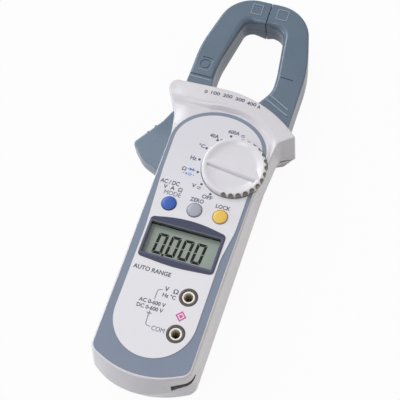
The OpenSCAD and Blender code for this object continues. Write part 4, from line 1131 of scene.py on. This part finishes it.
def display_mask():
    """The mask on the display cell's glass, round the part that shows: printed lines, and painted
    shadow along its top.
    """
    z0 = CELL_TOP + 0.02
    z1 = CELL_TOP + 0.08
    half = GLASS_SIZE / 2
    x0, y0, x1, y1 = GLASS.x - half.x, GLASS.y - half.y, GLASS.x + half.x, GLASS.y + half.y
    mask = box(x0 - 0.5, y0 - 0.5, z0, x1 + 0.5, y1 + 0.5, z1)
    shown = four(x0 + 1.7, y0 + 0.3, x1 - 0.5, y1 - 0.15, 0.5)
    return carved(mask, plate(shown, z0 - 1, z1 + 1))


def digit_zero(left, foot):
    """The six bars of a nought on a seven-bar display, leaning to the right."""
    width, height, thick, gap = 4.9, 10.6, 1.35, 0.14
    slope, chamfer = thick - gap, thick * 0.15
    level_bar = [(gap + 0.1, 0), (width - gap - 0.1, 0), (width - slope - gap, 1), (slope + gap, 1)]
    bars = []
    for up in (0, 1):
        y = foot + up * height
        inwards = -thick if up else thick
        bars.append([(left + x, y + k * inwards) for x, k in level_bar])
        y = foot + up * height / 2
        outer_low, outer_top = (gap, gap + chamfer) if up else (gap + chamfer, gap)
        inner_low, inner_top = (gap, thick) if up else (thick, gap)
        for x0, x1 in ((0, thick), (width, width - thick)):
            bars.append([(left + x0, y + outer_low), (left + x1, y + inner_low + 0.1),
                         (left + x1, y + height / 2 - inner_top - 0.1),
                         (left + x0, y + height / 2 - outer_top)])
    lean = math.tan(math.radians(4))
    leaning = [flat(*[(x + (y - foot) * lean, y) for x, y in loop]) for loop in bars]
    return [slab(loop, BAR_Z, BAR_Z + 0.04) for loop in leaning]


def display_reading():
    """The resting reading 0.000."""
    first, foot = GLASS.x - 12.8, GLASS.y - 6.25
    bars = [made for k in range(4) for made in digit_zero(first + 6.25 * k, foot)]
    point = box(first + 5.05, foot - 0.4, BAR_Z, first + 6.05, foot + 0.7, BAR_Z + 0.04)
    return joined(*bars, point)


finish(display_mask(), "display_mask", MASK_PAINT, "case")
finish(display_reading(), "display_reading", SEGMENT_INK, "case")


# ---- Rings, words and marks on the front ----


def words(text, place, height, length, z):
    """Raised ink of a word centred on a place, with this height and length in millimetres."""
    curve = bpy.data.curves.new("words", "FONT")
    curve.body = text
    curve.extrude = 0.5
    curve.offset = 0 if "M" in text else 0.022  # the corners of a widened M cross over
    curve.resolution_u = 3
    holder = placed("words", curve)
    seen = holder.evaluated_get(bpy.context.evaluated_depsgraph_get())
    mesh = bpy.data.meshes.new_from_object(seen)
    bm = bmesh.new()
    bm.from_mesh(mesh)
    bpy.data.objects.remove(holder)
    bpy.data.curves.remove(curve)
    bpy.data.meshes.remove(mesh)
    bmesh.ops.remove_doubles(bm, verts=bm.verts, dist=1e-5)
    xs, ys = [v.co.x for v in bm.verts], [v.co.y for v in bm.verts]
    tall = height / (max(ys) - min(ys))
    wide = length / (max(xs) - min(xs))
    middle_x, middle_y = (max(xs) + min(xs)) / 2, (max(ys) + min(ys)) / 2
    bmesh.ops.translate(bm, vec=(-middle_x, -middle_y, 0.5), verts=bm.verts)
    bmesh.ops.scale(bm, vec=(wide, tall, 0.04), verts=bm.verts)
    bmesh.ops.translate(bm, vec=(*place, z), verts=bm.verts)
    return bm


def stroke(width, *points):
    """A thin printed line through points."""
    sides = [[], []]
    for i, point in enumerate(points):
        here = Vector(point)
        before = here - Vector(points[i - 1]) if i else Vector(points[1]) - here
        after = Vector(points[i + 1]) - here if i + 1 < len(points) else before
        run = (before.normalized() + after.normalized()).normalized()
        across = Vector((-run.y, run.x)) * width / 2
        sides[0].append(here - across)
        sides[1].append(here + across)
    return slab(flat(*sides[0], *sides[1][::-1]), INK_Z, INK_TOP)


INK_Z = LABEL_Z + 0.005
INK_TOP = INK_Z + 0.04
# Thin dark rings on the label round each button: painted shadow of the gap.
for name, gap_shadow_ink in GAP_SHADOW_INKS.items():
    ring = tube(BUTTON_R + 0.06, BUTTON_R + 0.34, INK_Z, INK_Z + 0.03, BUTTONS[name])
    finish(ring, name + "_button_ring", gap_shadow_ink, "case")

DIAL_WORDS = (
    ("600A", (5.3, 53.5), 2.0, 5.6), ("~", (10.0, 53.1), 0.6, 1.9), ("40A", (-3.2, 49.2), 2.0, 4.4),
    ("~", (0.9, 48.2), 0.6, 1.7), ("\u00b0C", (-7.3, 42.5), 2.1, 3.0),
    ("Hz", (-9.1, 35.2), 2.1, 3.0), ("\u03a9", (-11.6, 28.7), 2.1, 2.1),
    ("V", (-4.4, 21.4), 2.1, 2.0), ("~", (-1.7, 21.3), 0.6, 1.9), ("OFF", (3.6, 17.3), 2.1, 5.0),
    ("AC / DC", (-15.7, 20.0), 2.2, 9.4), ("V  A  \u03a9", (-13.4, 17.4), 2.2, 9.4),
    ("MODE", (-12.7, 14.6), 2.2, 8.2), ("ZERO", (-0.5, 14.5), 2.1, 6.6),
    ("LOCK", (12.4, 14.4), 2.1, 7.0), ("AUTO RANGE", (-9.0, -24.6), 2.2, 18.2),
    ("V", (0.5, -31.4), 2.3, 2.1), ("\u03a9", (4.9, -31.5), 2.3, 2.4),
    ("Hz \u00b0C", (2.6, -34.4), 2.0, 6.2), ("AC 0-600 V", (-3.8, -39.2), 2.0, 12.6),
    ("DC 0-600 V", (-4.0, -42.0), 2.0, 12.6), ("COM", (2.9, -50.7), 2.2, 6.0),
)
marks = [words(*row, INK_Z) for row in DIAL_WORDS]
marks += [rod(round_dial(112.5 + 22.5 * k, 17.25), 0.62, INK_Z, INK_TOP, 20) for k in range(7)]
marks += [
    stroke(0.3, (9.1, 52.3), (10.8, 52.2)),
    stroke(0.3, (0.1, 47.4), (1.7, 47.3)),
    stroke(0.3, (-2.6, 20.5), (-0.9, 20.4)),
    stroke(0.28, (-1.2, -32.3), (-2.6, -32.5), (-3.2, -33.1), (-3.35, -34), (-3.3, -37.6)),
    stroke(0.28, (-3.5, -45.6), (-3.4, -48.9), (-3.2, -49.8), (-2.5, -50.3), (-0.8, -50.4)),
    stroke(0.28, (-3.5, -43.3), (-3.5, -44.3)),
    stroke(0.3, (-4.7, -44.4), (-2.3, -44.4)),
    stroke(0.3, (-4.2, -45.0), (-2.8, -45.0)),
    stroke(0.3, (-3.8, -45.6), (-3.2, -45.6)),
]
finish(joined(*marks), "front_words", SLATE_INK, "case")
blue_marks = [
    stroke(0.36, (-10.0, 29.1), (-6.1, 29.1)),
    slab(flat((-9.0, 28.3), (-7.4, 29.1), (-9.0, 29.9)), INK_Z, INK_Z + 0.05),
    stroke(0.42, (-7.25, 28.3), (-7.25, 29.9)),
    rod((-9.9, 26.5), 0.46, INK_Z, INK_TOP, 16),
    stroke(0.36, (-8.9, 25.8), (-8.4, 26.5), (-8.9, 27.2)),
    stroke(0.36, (-8.0, 25.6), (-7.4, 26.5), (-8.0, 27.4)),
    stroke(0.36, (-11.7, 26.5), (-10.9, 26.5)),
    stroke(0.36, (-6.7, 26.5), (-5.9, 26.5)),
]
finish(joined(*blue_marks), "front_marks_blue", BLUE_INK, "case")


def diamond(reach, z0, z1):
    """A square on its corner beside the voltage limits."""
    x, y = 10.8, -42.0
    return slab(flat((x + reach, y), (x, y + reach), (x - reach, y), (x, y - reach)), z0, z1)


lozenge = carved(diamond(2.6, INK_Z, INK_TOP), diamond(1.7, INK_Z - 1, INK_Z + 1))
lozenge = joined(lozenge, diamond(1.0, INK_Z, INK_TOP))
finish(lozenge, "front_mark_magenta", MAGENTA_INK, "case")


def band_words():
    """Numbers along the raised guard, laid on its relief."""
    made = []
    for text, place, length in (
        ("0", (-14.4, 70.5), 1.5), ("100", (-9.6, 70.75), 4.4), ("200", (-3.4, 70.8), 4.8),
        ("300", (3.0, 70.45), 4.8), ("400", (9.0, 69.7), 4.8), ("A", (12.9, 69.1), 1.7),
    ):
        word = words(text, place, 1.9, length, 0)
        for vert in word.verts:
            vert.co.z += FACE_Z + band_height(Vector((vert.co.x, vert.co.y, 0))) + 0.01
        made.append(word)
    return joined(*made)


finish(band_words(), "guard_numbers", SLATE_INK, "case")


# ---- Floor, light and camera ----


def pale_floor():
    """White ground that shows as white and keeps a soft shadow."""
    paint = Paint("pale_ground")
    white = paint.node("ShaderNodeEmission", {}, {"Color": (1, 1, 1, 1), "Strength": 1.0})
    ground = paint.node("ShaderNodeBsdfDiffuse", {}, {"Color": (0.62, 0.62, 0.62, 1)})
    share = paint.background_rays() * 0.95
    return paint.done(paint.node("ShaderNodeMixShader", {}, {0: share, 1: ground, 2: white}))


ground = bmesh.new()
bmesh.ops.create_circle(ground, cap_ends=True, segments=96, radius=4)
bmesh.ops.translate(ground, vec=(0, 0, -0.0001), verts=ground.verts)
mesh = poured(ground, "ground")
mesh.materials.append(pale_floor())
floor = placed("ground", mesh)

sky = Paint("studio", world=True)
soft = sky.node("ShaderNodeBackground", {}, {"Color": (0.98, 0.99, 1, 1), "Strength": 0.43})
white = sky.node("ShaderNodeBackground", {}, {"Color": (1, 1, 1, 1), "Strength": 1.0})
shown = sky.node("ShaderNodeMixShader", {}, {0: sky.background_rays(), 1: soft, 2: white})
sky.node("ShaderNodeOutputWorld", {}, {"Surface": shown})
bpy.context.scene.world = sky.owner


def lamp(name, direction, strength, spread, colour=(1, 1, 1)):
    """A distant lamp that shines from a direction."""
    light = bpy.data.lights.new(name, "SUN")
    light.energy = strength
    light.color = colour
    light.angle = math.radians(spread)
    turn = Vector(direction).to_track_quat("Z", "Y").to_euler()
    placed(name, light).rotation_euler = turn


lamp("key", (-0.6, 0.45, 0.66), 1.56, 30, (0.985, 0.99, 1))
lamp("overhead", (-0.2, -0.3, 0.93), 0.6, 16)
lamp("side_fill", (0.85, 0.35, 0.5), 0.4, 50, (1, 0.8, 0.68))
lamp("left_fill", (-0.97, -0.24, 0.04), 1.7, 30, (0.99, 0.98, 1))

lens = bpy.data.cameras.new("viewpoint")
lens.lens = 108
lens.sensor_width = 36
lens.clip_start, lens.clip_end = 0.01, 20
viewpoint = placed("viewpoint", lens)
viewpoint.location = Vector((115.3, -200.7, 533.1)) * MM
viewpoint.rotation_euler = [math.radians(a) for a in (25.481, 4.579, 18.446)]
bpy.context.scene.camera = viewpoint
bpy.context.scene.view_settings.view_transform = "Standard"
